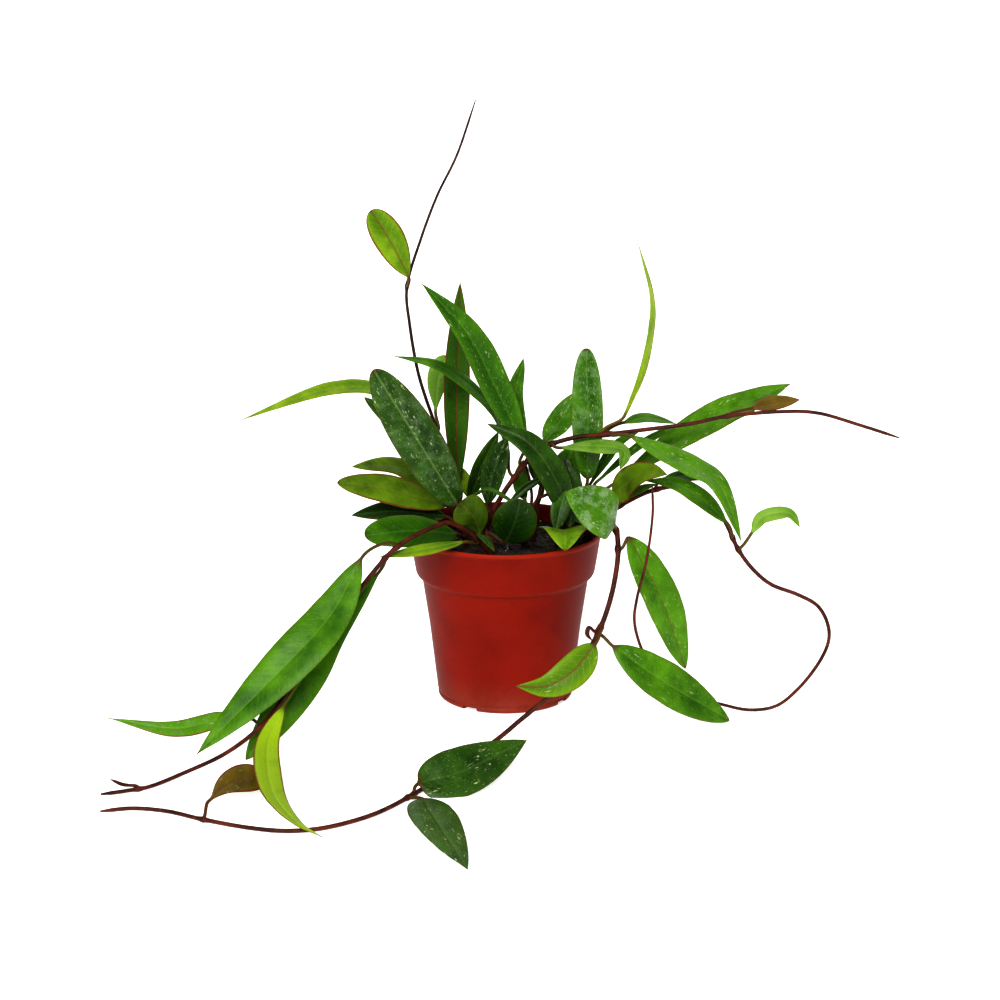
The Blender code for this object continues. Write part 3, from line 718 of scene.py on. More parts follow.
# %% Leaves of the right stem
add_leaves("right", "vine_right", [
    ((-8, -8, 106), [(-10, -2, 111), (-6, 0, 130), (1, 0, 149)], 16, [(-0.6, -0.8, 0.2),
     (-0.4, -0.9, 0.2)], 15, 0.7, 0.8, "dark"),
    ((5, -4, 127), [(1, 6, 142), (-9, 4, 166), (-34, -2, 188.5), (-62, -14, 198.5)], 13,
     [(0.95, -0.2, 0.3), (0.3, -0.4, 0.9)], 8, 0.9, 1.2, "mid"),
    ((9, -1, 132), [(11, 3, 144), (5, 12, 168), (10, 16, 190)], 11, [(0.5, -0.9, 0.1)], 15, 0.8,
     0.8, "mid"),
    ((13, 1, 136), [(11, -5, 143), (-6, -4, 179), (-21, -7, 209), (-45, -14, 238)], 20,
     [(0.4, -0.9, 0.2), (0.5, -0.8, 0.4)], 20, 0.8, 1.0, "mid"),
    ((18, 3, 140), [(22, 12, 143), (32, 24, 154), (42, 32, 168)], 16, [(-0.4, -0.8, 0.4)], 12, 0.7,
     0.8, "mid"),
    ((26, 4, 144), [(31, -4, 144), (47, -9, 146), (64, -14, 145), (63, -20, 136)], 13,
     [(0, -0.3, 1), (0.7, -0.6, 0.4)], 12, 0.8, 0.8, "pale"),
    ((54, 2, 150), [(66, 5, 160), (77, 7, 187), (81.5, 9, 222), (72, 16, 257)], 12,
     [(-0.9, -0.3, 0.3), (-0.9, -0.2, -0.1)], 15, 0.9, 1.2, "young"),
    ((56, 2, 150), [(66, 10, 155), (79, 14, 156.5), (96, 17, 152.5)], 10, [(0, -0.4, 0.9),
     (0, -0.3, 1)], 12, 0.8, 1.1, "mid"),
    ((58, 2, 150), [(69, -7, 151.5), (84, -13, 145), (102.5, -22, 137.5), (116.5, -31, 129),
     (128, -42, 101.5)], 19, [(0.1, -0.5, 0.9), (0.8, -0.5, 0.3)], 12, 0.8, 0.9, "mid"),
    ((122, -8, 163), [(136, -2, 166), (150, 3, 168), (163, 6, 169)], 11, [(-0.1, -0.6, 0.8)], 12,
     0.7, 0.9, "bronze"),
])

# %% Leaves of the left stem
add_leaves("left", "vine_left", [
    ((-15, -29, 98), [(-23, -44, 101.5), (-45, -58, 101), (-68, -55, 96.5)], 11, [(0, -0.3, 1),
     (0.1, -0.3, 1)], 10, 0.8, 0.9, "young"),
    ((-58, -59, 103), [(-77, -74.5, 101), (-91.5, -91, 76.5), (-113, -106, 55), (-162, -120, 8)],
     26, [(-0.2, -0.9, 0.3), (-0.3, -0.8, 0.5)], 10, 0.75, 1.0, "mid"),
    ((-65, -62.5, 98), [(-68, -58, 89), (-93, -75, 62), (-106, -86, 41), (-121, -98, 21),
     (-137, -114, 2.5)], 22, [(0.1, -0.9, 0.2), (0.1, -0.9, 0.4)], 8, 0.95, 0.75, "mid"),
    ((-107, -92.5, 46), [(-117, -111, 31), (-124, -133, 17), (-118, -174, 8), (-104, -207, 5.5),
     (-90, -222, 4)], 15, [(0.3, -0.5, 0.9), (0.4, -0.4, 0.9)], 12, 0.7, 1.1, "young"),
    ((-129, -110, 20), [(-136, -104, 22), (-152, -99, 19), (-178, -95, 12.5), (-213, -92, 18)], 12,
     [(0, -0.6, 0.8)], 12, 0.7, 1.3, "mid"),
])

# %% Leaves of the front stem
add_leaves("front", "vine_front", [
    ((60, -40, 107), [(58.5, -47, 112), (53, -55, 121), (32, -59, 133.5)], 28, [(0.4, -0.8, 0.5),
     (0.2, -0.8, 0.5)], 8, 0.45, 0.8, "mid"),
    ((61, -46, 98), [(67, -44, 104), (85.5, -45.5, 68), (99, -44, 29)], 24, [(0.5, -0.8, 0.3),
     (0.6, -0.8, 0.1)], 14, 0.6, 0.75, "mid"),
    ((51, -62, 58), [(48, -71, 52), (36, -80, 40), (22, -84, 33), (5, -87, 34)], 18,
     [(0.1, -0.9, 0.4), (0.1, -0.9, 0.3)], 8, 0.6, 1.1, "young"),
    ((50, -63, 56), [(58, -68, 50), (86, -70, 30), (123, -54, 2.5)], 26, [(0.2, -0.8, 0.5),
     (0.3, -0.6, 0.7)], 12, 0.7, 0.75, "mid"),
    ((-47, -160, 1.6), [(-44.5, -156, 5.7), (-22.5, -149, 9.5), (11, -122, 16.5)], 28,
     [(0, -0.7, 0.7), (0, -0.8, 0.6)], 10, 0.42, 0.95, "dark"),
    ((-50, -165, 1.6), [(-42, -171, 3), (-32, -210, 3), (-18.5, -256, 1.6)], 24, [(0, 0, 1)], 8,
     0.35, 0.9, "dark"),
    ((-151, -194, 1.5), [(-149, -186, 8), (-140, -169, 10.5), (-123, -151, 9)], 18,
     [(0.2, -0.6, 0.8)], 12, 1.4, 0.6, "bronze"),
])

# %% Leaves of the looping stem
add_leaves("loop", "vine_loop", [
    ((62, -2, 109), [(60, -11, 117), (68, -20, 129), (77, -31, 136.5), (87, -42, 139)], 19,
     [(-0.2, -0.8, 0.6), (-0.1, -0.7, 0.7)], 14, 0.5, 0.9, "mid"),
    ((84, -5, 120), [(88, 1, 125), (103, 4, 126), (118, 7, 124)], 11, [(0, -0.4, 0.9)], 12, 0.8,
     0.9, "mid"),
    ((125, -23, 98), [(121, -28, 108), (107, -25, 120.5), (93, -20, 127.5), (75, -15, 128.5)], 15,
     [(0.5, -0.5, 0.7), (0, -0.5, 0.9)], 14, 0.8, 1.3, "mid"),
    ((128, -26, 92), [(134.5, -33, 103.5), (140, -37, 113.5), (153, -42, 117), (159, -47, 111)], 9,
     [(0, -0.7, 0.7), (0.5, -0.6, 0.6)], 12, 0.8, 0.8, "pale"),
])

# %% Leaves of the bushy middle
add_leaves("bushy", "cutting_left", [
    ((-23, -7, 93), [(-27, -20, 99), (-49, -38, 106), (-76, -49, 106.5)], 23, [(0, -0.7, 0.7),
     (-0.1, -0.6, 0.8)], 10, 0.6, 0.45, "mid"),
    ((-24, -6, 101), [(-33, -6, 105), (-59, -9, 109), (-85, -17, 109)], 16, [(0, -0.6, 0.8)], 12,
     0.7, 0.9, "dark"),
    ((-25, -5, 108), [(-33, -8, 112), (-64, -16, 123), (-92, -24, 129.5)], 19, [(-0.1, -0.7, 0.7),
     (-0.2, -0.7, 0.7)], 12, 0.6, 0.6, "mid"),
    ((-28, -2, 116), [(-39, 1, 119.5), (-60, 2, 131.5), (-85, -3, 133)], 15, [(0, -0.5, 0.9),
     (-0.1, -0.5, 0.9)], 12, 0.55, 0.8, "mid"),
    ((-31, 0, 122), [(-34, -6, 128), (-52, -9, 152), (-77, -14, 175)], 11, [(-0.2, -0.9, 0.3)], 12,
     0.7, 0.7, "dark"),
    ((-39, 4, 137), [(-46, 4, 147), (-63, 3, 172), (-95, -6, 178), (-145, -22, 164)], 12.5,
     [(0.8, -0.3, 0.6), (-0.3, -0.4, 0.9)], 12, 0.8, 1.1, "young"),
])
add_leaves("bushy", "cutting_front", [
    ((-8, -16, 94), [(-14, -20, 99), (-17, -23, 109), (-25, -27, 119)], 20, [(0, -0.9, 0.4)], 8,
     0.9, 0.4, "dark"),
    ((-10, -16, 98), [(0, -24, 96), (5, -31, 109), (8, -34, 123)], 25, [(0.1, -0.9, 0.3),
     (0.1, -0.9, 0.4)], 8, 0.5, 0.5, "dark"),
    ((-20, -14, 110), [(-26, -16, 114), (-48, -28, 155), (-71, -34, 195)], 26, [(0.1, -1, 0.2),
     (0, -1, 0.3)], 10, 0.5, 0.5, "dark"),
])
add_leaves("bushy", "cutting_back_left", [
    ((-26, 15, 102), [(-21, 9, 108), (-14, 7, 130), (-4, 8, 150)], 12, [(0.6, -0.8, 0.2)], 15, 0.8,
     0.8, "dark"),
    ((-25.5, 14, 107.5), [(-27, 15, 117), (-27, 17, 172), (-25, 20, 232)], 19, [(0, -1, 0.1),
     (0, -1, 0.2)], 40, 0.8, 0.85, "dark"),
])
add_leaves("bushy", "cutting_centre", [
    ((29, -11, 92), [(30, -20, 100), (32, -40, 107), (32, -54, 108), (32, -62, 102)], 29,
     [(0, -0.1, 1), (0, -0.8, 0.6)], 18, 0.6, 0.8, "young"),
    ((31, -13, 102), [(34, -18, 110), (28, -26, 130), (13, -28, 152), (-10, -21, 162)], 18,
     [(0.5, -0.8, 0.2), (0.2, -0.7, 0.7)], 12, 0.6, 0.9, "dark"),
    ((32, -14, 107), [(28, -8, 112), (28, -6, 122), (23, -8, 134)], 13, [(0.1, -0.9, 0.3)], 10,
     0.7, 0.7, "dark"),
])
add_leaves("bushy", "cutting_right", [
    ((40, 10, 97), [(40, 2, 105), (36, 6, 122), (31, 11, 136)], 13, [(0, -1, 0.2)], 10, 0.7, 0.8,
     "dark"),
    ((42, 11, 104), [(48, 20, 117), (62, 22, 138), (76, 21, 148)], 9, [(-0.3, -0.4, 0.8)], 12, 0.9,
     0.9, "mid"),
    ((43, 11, 109), [(51, 9, 121), (76, 8, 143), (102, 4, 158)], 8, [(-0.4, -0.4, 0.8)], 12, 1.0,
     1.0, "mid"),
    ((44, 12, 114), [(58, 16, 116), (108, 16, 151), (158, 12, 176.5)], 24, [(-0.4, -0.5, 0.8)], 14,
     1.3, 0.9, "mid"),
    ((45, 12, 117), [(46, 8, 123), (46, 12, 158), (45, 20, 195)], 19, [(-0.2, -1, 0.1),
     (-0.2, -1, 0.2)], 20, 0.45, 0.45, "mid"),
])

# %% [markdown]
# ## Small inner leaves
# Between the large leaves a real plant is filled with small ones on short shoots.  They are
# too fine to be solids of their own, so they are made here with the same rule.  The last two
# are woody side shoots: a curled root and a leafless twig.

# %% Inner leaf table
INNER_ROWS = [
    ("cutting_right", (43, 11.5, 109), [(41, 18, 115), (34, 18, 126), (37, 20, 138)], 15,
     [(0.2, -1, 0.1)], 12, 0.6, 0.6, "mid"),
    ("cutting_front", (-21, -14, 110), [(-17, -12, 119.5), (-10.5, -16, 123.5), (-5, -20, 123),
     (5, -25, 118)], 3.2, [(0, -0.5, 0.9)], 20, 0.4, 0.4, "dark"),
    ("vine_right", (-6, -8, 110), [(3.5, -2, 113.5), (12, 0, 120.5), (22, 2, 126)], 5,
     [(0.4, -0.8, 0.4)], 20, 0.6, 0.7, "dark"),
    ("inner_stem_1", (14, 1.5, 106), [(11, 4, 112), (8.5, 6, 120.5), (10, 8, 134)], 9,
     [(0, -1, 0.2)], 14, 0.7, 0.8, "mid"),
    ("inner_stem_3", (28, -5.5, 119), [(33, -22, 125), (30, -28, 116), (27.5, -32, 105)], 11,
     [(0, -1, 0.2), (0, -1, 0.1)], 12, 0.6, 0.7, "dark"),
    ("cutting_centre", (31, -14, 105), [(38, -17, 122), (36, -20, 114), (35, -24, 104)], 10,
     [(0.2, -1, 0.1)], 12, 0.6, 0.7, "dark"),
    ("cutting_centre", (31, -13, 102), [(37, -13, 113), (43, -20, 110), (49, -27, 105)], 13,
     [(0.1, -0.8, 0.6)], 12, 0.6, 0.8, "dark"),
    ("vine_loop", (64, -1.5, 110.5), [(65, -6, 115), (73, -12, 121.5), (83, -18, 127)], 7,
     [(0, -0.6, 0.8)], 14, 0.7, 0.9, "pale"),
    ("cutting_back_left", (-26, 15, 103), [(-18, 17, 108), (-22, 18, 117.5), (-26, 20, 127)], 8,
     [(0.1, -1, 0.3)], 10, 0.7, 0.7, "young"),
    ("vine_left", (-15.5, -29.5, 99), [(-15, -38, 104), (-11, -45, 103.5), (-6, -53, 99)], 6,
     [(0.3, -0.5, 0.9), (0.3, -0.6, 0.8)], 14, 0.6, 0.9, "dark"),
    ("cutting_back_left", (-26, 15, 100), [(-35, 15, 118), (-50, 15.5, 127), (-68, 15, 131)], 12,
     [(0, -0.4, 0.9)], 12, 0.6, 0.9, "young"),
    ("inner_stem_2", (18.5, 6, 112), [(21, 12, 117), (17, 16, 130), (20, 20, 143)], 9,
     [(-0.2, -1, 0.2)], 12, 0.7, 0.8, "dark"),
    ("vine_front", (51, -62, 58), [(48, -65, 57.5), (45, -66, 60), (44, -67, 56.5),
     (46.5, -68, 53.5)], 2.6, [(0, -0.5, 0.9)], 14, 0.7, 0.7, "bronze"),
    ("vine_left", (-189, -152, 1.4), [(-191, -152, 3), (-197, -152, 3.6), (-203, -152, 6.5)], 2.4,
     [(0, -0.5, 0.9)], 14, 0.7, 0.7, "bronze"),
]
INNER_NAMES = [f"inner_leaf_{number}" for number in range(1, 13)] + ["side_root", "side_shoot"]
INNER_LEAVES = [(name, *row) for name, row in zip(INNER_NAMES, INNER_ROWS)]
print("inner leaves", len(INNER_LEAVES))

# %% [markdown]
# ## Growing the stems
# A tube along a route is what Curve to Mesh makes.  Only its girth needs a rule: it tapers
# from root to tip and swells at each node, where a pair of leaves joins.  Python gives each
# route point that girth, and the tree sweeps the tube and roughens it a little.

# %% Stem tree
def stem_tree():
    numbers = {"Around": 16, "Roughness": 0.10 * MM}
    graph, given = new_tree("stem", numbers, whole=("Around",))
    route = graph.result("GeometryNodeMeshToCurve", {"Mesh": given["Geometry"]})
    girth = graph.result("GeometryNodeInputNamedAttribute", {"Name": "girth"},
                         data_type="FLOAT")
    circle = graph.result("GeometryNodeCurvePrimitiveCircle", {
        "Resolution": given["Around"], "Radius": 1.0})
    tube = graph.result("GeometryNodeCurveToMesh", {
        "Curve": route, "Scale": girth, "Profile Curve": circle, "Fill Caps": True})
    place = graph.result("GeometryNodeInputPosition")
    lumps = graph.math("SUBTRACT", graph.blur(place, 420.0, 3.0), 0.5)
    push = graph.times(lumps, graph.times(given["Roughness"], 2.0))
    normal = graph.result("GeometryNodeInputNormal")
    rough = graph.result("GeometryNodeSetPosition", {
        "Geometry": tube, "Offset": graph.scaled(normal, push)})
    return end_tree(graph, rough, given["Material"])


STEM_TREE = stem_tree()


# %% Line with attributes
def polyline(name, points, **attributes):
    """A mesh of one line of edges whose points carry these attributes."""
    mesh = bpy.data.meshes.new(name)
    mesh.from_pydata(points, [(i, i + 1) for i in range(len(points) - 1)], [])
    for label, values in attributes.items():
        kind = "FLOAT_VECTOR" if isinstance(values[0], Vector) else "FLOAT"
        field = mesh.attributes.new(label, kind, "POINT")
        for item, value in zip(field.data, values):
            if kind == "FLOAT":
                item.value = value
            else:
                item.vector = value
    return link(bpy.data.objects.new(name, mesh))


# %% Make the stems
NODE_SWELL = 0.6 * MM
NODE_LENGTH = 1.8 * MM


def girths(name, line, radii):
    """Radius at each point, swollen where leaves join and drawn in at the very tip."""
    rows = [row for row in LEAVES + INNER_LEAVES if row[1] == name]
    joints = [Vector(row[2]) * MM for row in rows]
    result = []
    for index, (point, radius) in enumerate(zip(line, radii)):
        swell = sum(math.exp(-((point - joint).length / NODE_LENGTH) ** 2) for joint in joints)
        close = min(1.0, (len(line) - 1 - index) / 5)
        result.append((radius + NODE_SWELL * min(swell, 1.0)) * (0.45 + 0.55 * close))
    return result


def make_stem(name):
    line, radii = stem_line(name)
    foot = Vector((line[0].x, line[0].y, SOIL_TOP - SOCKET_DEPTH + GAP))
    girth = girths(name, line, radii)
    stem = polyline(name + "_bark", [foot] + line, girth=[girth[0]] + girth)
    finish = "dark" if name == "vine_upright" else "brown"
    grow(stem, STEM_TREE, around=16, material=BARK[finish])
    finish_piece(stem, name if name in STEMS else None)
    return stem


stems = [make_stem(name) for name in EVERY_STEM]
print("stem faces", sum(len(stem.data.polygons) for stem in stems))

# %% [markdown]
# ## Leaf skin
# The leaves are thick and waxy.  Cell layers under a clear skin give a broad soft shine, and
# many leaves carry silver flecks where air sits under that skin, or a haze of them all over.
# Old leaves are nearly black-green, young ones yellow-green, and sun turns a margin red-brown.
# Faint side veins slant away from the midrib.  The pattern has to follow the blade, so each
# leaf carries attributes: how far across and along a point is, which side it is on, and how
# strong its own flecks, margin and rib colour are.

# %% Leaf markings
def silver_flecks(graph, grain):
    """Dashes and blots of silver, drawn out along the blade and gathered in drifts."""
    x, y, seed = graph.split(grain)
    drawn = graph.join(x, graph.times(y, 0.30), seed)
    drawn = graph.vector("ADD", drawn, graph.shake(drawn, 420.0, 0.0016))
    cells = graph.node("ShaderNodeTexVoronoi", {"Vector": drawn, "Scale": 780.0},
                       feature="F1").outputs
    size = graph.between(0.02, 0.30, graph.split(cells["Color"])[0])
    dots = graph.math("LESS_THAN", cells["Distance"], size)
    drifts = graph.ramp(graph.blur(drawn, 150.0, 3.0, 0.65), 0.52, 0.62)
    blots = graph.ramp(graph.blur(drawn, 520.0, 4.0, 0.65), 0.60, 0.66)
    strewn = graph.ramp(graph.blur(drawn, 1600.0, 1.0), 0.66, 0.72)
    marks = graph.math("MAXIMUM", graph.times(dots, drifts),
                       graph.times(blots, graph.times(drifts, 0.9)))
    return graph.math("MAXIMUM", marks, graph.times(strewn, 0.45))


def slanting_veins(graph, grain):
    """Side veins that leave the midrib at a slant, a little uneven."""
    x, y = graph.split(grain)[:2]
    run = graph.math("SUBTRACT", y, graph.times(graph.math("ABSOLUTE", x), 0.9))
    run = graph.slope(graph.blur(grain, 110.0, 2.0), 0.004, run)
    return graph.ramp(graph.math("SINE", graph.times(run, 1500.0)), 0.72, 1.0)


# %% Leaf materials
LEAF_WAX = {"Coat Weight": 0.03, "Coat Roughness": 0.25, "Specular IOR Level": 0.16}
BROWN_RIB = (0.16, 0.045, 0.020)
SILVER = (0.42, 0.48, 0.24)
SILVER_HAZE = (0.22, 0.31, 0.17)
RED_MARGIN = (0.15, 0.018, 0.008)
STALK_BROWN = (0.080, 0.030, 0.010)
TIP_BROWN = (0.090, 0.028, 0.010)


def leaf_skin(name, deep, light, under, rib_light, rough):
    material, graph, shader = new_material(name, LEAF_WAX)

    def own(field, output="Fac"):
        return graph.node("ShaderNodeAttribute", attribute_name=field).outputs[output]

    grain = own("grain", "Vector")
    across = graph.math("ABSOLUTE", own("across"))
    along, top = own("along"), own("topside")

    clouds = graph.blur(grain, 120.0, 4.0, 0.55)
    patches = graph.times(graph.blur(grain, 46.0, 2.0, 0.5), 0.65)
    mix = graph.slope(own("tone"), 0.30, graph.slope(clouds, 0.35, patches))
    skin = graph.colour(deep, light, graph.ramp(mix, 0.30, 0.72))
    skin = graph.colour(skin, light, graph.ramp(across, 0.30, 1.0), 0.32)
    veins = slanting_veins(graph, grain)
    skin = graph.colour(skin, light, veins, 0.12)

    amount = graph.math("MINIMUM", own("flecks"), 1.0)
    flecks = graph.times(silver_flecks(graph, grain), amount, top)
    haze = graph.ramp(graph.blur(grain, 150.0, 5.0, 0.7), 0.44, 0.62)
    haze = graph.times(haze, top, graph.ramp(own("flecks"), 0.7, 1.7))
    skin = graph.colour(skin, SILVER_HAZE, haze, 0.65)
    skin = graph.colour(skin, SILVER, flecks)

    rim = graph.ramp(graph.slope(graph.blur(grain, 420.0, 3.0), 0.12, across), 0.88, 1.02)
    skin = graph.colour(skin, RED_MARGIN, rim, own("margin"))
    middle = graph.math("ABSOLUTE", graph.split(grain)[0])
    rib = graph.rest(graph.ramp(middle, 0.00015, 0.0009))
    rib_colour = graph.colour(rib_light, BROWN_RIB, own("brownrib"))
    skin = graph.colour(skin, rib_colour, rib, own("rib"))

    below = graph.rest(top)
    skin = graph.colour(skin, under, below, 0.75)
    skin = graph.colour(skin, STALK_BROWN, graph.rest(graph.ramp(along, 0.0, 0.05)), 0.85)
    skin = graph.colour(skin, TIP_BROWN, graph.ramp(along, 0.965, 1.0), 0.8)
    graph.feed(shader.inputs["Base Color"], skin)

    shine = graph.slope(below, 0.12, graph.slope(clouds, 0.16, rough - 0.10))
    graph.feed(shader.inputs["Roughness"], shine)
    relief = graph.slope(veins, -0.35, graph.blur(grain, 700.0, 3.0, 0.5))
    add_bump(graph, shader, graph.slope(flecks, 0.25, relief), 0.00032, 0.6)
    return material


# deep tone, light tone, underside, pale rib and roughness of each kind
LEAF_TONES = {
    "dark": ((0.011, 0.036, 0.0025), (0.048, 0.125, 0.009), (0.055, 0.130, 0.010),
             (0.130, 0.220, 0.060), 0.40),
    "mid": ((0.024, 0.090, 0.0015), (0.100, 0.250, 0.0070), (0.095, 0.205, 0.012),
            (0.130, 0.270, 0.025), 0.42),
    "young": ((0.078, 0.165, 0.0030), (0.290, 0.430, 0.014), (0.210, 0.340, 0.022),
              (0.290, 0.410, 0.045), 0.44),
    "bronze": ((0.055, 0.040, 0.0050), (0.170, 0.115, 0.014), (0.140, 0.090, 0.016),
               (0.160, 0.060, 0.018), 0.44),
    "pale": ((0.075, 0.190, 0.010), (0.210, 0.350, 0.055), (0.200, 0.300, 0.065),
             (0.260, 0.370, 0.090), 0.46),
    "olive": ((0.032, 0.066, 0.0025), (0.140, 0.230, 0.0090), (0.120, 0.160, 0.014),
              (0.170, 0.150, 0.030), 0.43),
}
LEAF_SKIN = {kind: leaf_skin("leaf_skin_" + kind, *tones) for kind, tones in LEAF_TONES.items()}
print("leaf finishes", ", ".join(LEAF_SKIN))

# %% [markdown]
# ## One rule for every leaf
# All the leaves share one growth rule, so one Geometry Nodes tree makes them.  It takes a
# closed tube and lays it along the leaf's centre line.  Close to the stem it stays a round
# stalk, and further out it widens into a thick blade: the half width is a power of the place
# along times a power of what is left.  The fold, the groove of the midrib, the ridge below
# it, the downturned margin and a slow wave are offsets on that tube.

# %% Leaf tree
def leaf_tree():
    numbers = {
        "Half Width": 9.0 * MM, "Half Thickness": 0.6 * MM, "Stalk Radius": 0.9 * MM,
        "Tip Radius": 0.25 * MM, "Stalk Share": 0.1, "Base Round": 0.8, "Tip Round": 0.9,
        "Fold": 0.2, "Curl": 0.06, "Wave": 0.05, "Length": 0.06, "Seed": 0.0, "Tone": 0.0,
        "Flecks": 0.3, "Margin": 0.2, "Rib": 0.5, "Brown Rib": 0.0, "Around": 48, "Rows": 84,
    }
    graph, given = new_tree("leaf", numbers, whole=("Around", "Rows"))
    tube = graph.result("GeometryNodeMeshCylinder", {
        "Vertices": given["Around"], "Side Segments": given["Rows"], "Radius": 1.0,
        "Depth": 1.0}, fill_type="NGON")
    x, y, z = graph.split(graph.result("GeometryNodeInputPosition"))

    # the place along the whole line, and along the blade alone
    step = graph.times(graph.math("ADD", z, 0.5), math.pi)
    t = graph.slope(graph.math("COSINE", step), -0.5, 0.5)
    blade = graph.math("DIVIDE", graph.math("SUBTRACT", t, given["Stalk Share"]),
                       graph.rest(given["Stalk Share"]))
    u = graph.math("MINIMUM", graph.math("MAXIMUM", blade, 0.0), 1.0)
    flat = graph.ramp(u, 0.0, 0.10)

    def swell(place):
        start = graph.math("POWER", place, given["Base Round"])
        return graph.times(start, graph.math("POWER", graph.rest(place), given["Tip Round"]))

    # half width, which never falls below the stalk's or the tip's own radius
    ends = graph.math("ADD", given["Base Round"], given["Tip Round"])
    widest = graph.math("DIVIDE", given["Base Round"], ends)
    width = graph.times(graph.math("DIVIDE", swell(u), swell(widest)), given["Half Width"])
    least = graph.between(given["Stalk Radius"], given["Tip Radius"], graph.ramp(u, 0.0, 0.6))
    cubes = graph.math("ADD", graph.math("POWER", width, 3.0), graph.math("POWER", least, 3.0))
    width = graph.math("POWER", cubes, 1.0 / 3.0)
    thick = graph.between(given["Stalk Radius"], given["Half Thickness"],
                          graph.ramp(u, 0.0, 0.16))
    thick = graph.times(thick, graph.slope(graph.ramp(u, 0.72, 1.0), -0.6, 1.0))

    packed = graph.slope(graph.times(x, x), 0.65, 0.35)
    across = graph.times(x, graph.between(1.0, packed, flat))
    reach = graph.times(across, width)
    square = graph.times(across, across)
    top = graph.math("GREATER_THAN", y, 0.0)

    bend = graph.times(given["Fold"], flat)
    crease = graph.math("SQRT", graph.math("ADD", square, 0.02))
    crease = graph.math("SUBTRACT", crease, math.sqrt(0.02))
    folded = graph.times(crease, width, graph.math("SINE", bend))
    curl = graph.times(graph.times(square, square), given["Curl"], width, flat)

    along_m = graph.times(u, given["Length"])
    spot = graph.join(graph.times(graph.math("SIGN", x), 0.5), graph.times(along_m, 70.0),
                      given["Seed"])
    ripple = graph.math("SUBTRACT", graph.blur(spot, 1.0, 1.0), 0.5)
    ripple = graph.times(ripple, square, given["Wave"], width, graph.times(flat, 2.0))

    def bell(size):
        share = graph.math("DIVIDE", reach, size)
        return graph.math("EXPONENT", graph.times(share, share, -1.0))

    # a groove along the upper side of the midrib and a ridge under it
    groove = graph.times(bell(0.7 * MM), graph.times(top, -0.28 * MM))
    ridge = graph.times(bell(0.8 * MM), graph.times(graph.rest(top), -0.5 * MM))
    ridge = graph.times(ridge, graph.rest(graph.times(u, 0.8)))
    relief = graph.times(graph.math("ADD", groove, ridge), flat)
    height = graph.times(y, thick)
    for part in (folded, ripple, relief):
        height = graph.math("ADD", height, part)
    height = graph.math("SUBTRACT", height, curl)
    narrow = graph.times(reach, graph.math("COSINE", bend))

    # every point is carried from the straight tube to its place on the leaf's own line
    line = graph.result("GeometryNodeMeshToCurve", {"Mesh": given["Geometry"]})
    facing = graph.result("GeometryNodeInputNamedAttribute", {"Name": "upper"},
                          data_type="FLOAT_VECTOR")
    spine = graph.node("GeometryNodeSampleCurve", {
        "Curves": line, "Value": facing, "Factor": t}, mode="FACTOR",
        data_type="FLOAT_VECTOR")
    value, centre, tangent = list(spine.outputs)[:3]
    side = graph.vector("NORMALIZE", graph.vector("CROSS_PRODUCT", value, tangent))
    lift = graph.vector("CROSS_PRODUCT", tangent, side)
    place = graph.vector("ADD", centre, graph.scaled(side, narrow))
    place = graph.vector("ADD", place, graph.scaled(lift, height))

    fields = {
        "across": across, "along": u, "topside": top, "tone": given["Tone"],
        "flecks": given["Flecks"], "margin": given["Margin"], "rib": given["Rib"],
        "brownrib": given["Brown Rib"], "grain": graph.join(reach, along_m, given["Seed"]),
        "spot": place,
    }
    shape = tube
    for name, value in fields.items():
        kind = "FLOAT_VECTOR" if name in ("grain", "spot") else "FLOAT"
        shape = graph.result("GeometryNodeStoreNamedAttribute", {
            "Geometry": shape, "Name": name, "Value": value}, data_type=kind, domain="POINT")
    spot_at = graph.result("GeometryNodeInputNamedAttribute", {"Name": "spot"},
                           data_type="FLOAT_VECTOR")
    leaf = graph.result("GeometryNodeSetPosition", {"Geometry": shape, "Position": spot_at})
    return end_tree(graph, leaf, given["Material"])


LEAF_TREE = leaf_tree()
print("leaf tree nodes", len(LEAF_TREE.nodes))


# %% [markdown]
# ## The look of single leaves
# Leaves of one plant differ.  Some are silver all over, some have a pale or a brown rib, and
# those grown in the sun have a dark red edge.  The table names only the leaves that stand
# out; the others take their kind's own values.

# %% Leaf looks
# flecks, margin, rib and how light the leaf is, from -1 to 1, for each kind of leaf
KIND_LOOK = {
    "dark": (0.40, 0.10, 0.25, -0.2), "mid": (0.50, 0.15, 0.25, -0.2),
    "young": (0.12, 0.40, 0.25, 0.0), "bronze": (0.30, 0.70, 0.45, 0.2),
    "pale": (0.30, 0.15, 0.20, 0.1),
}
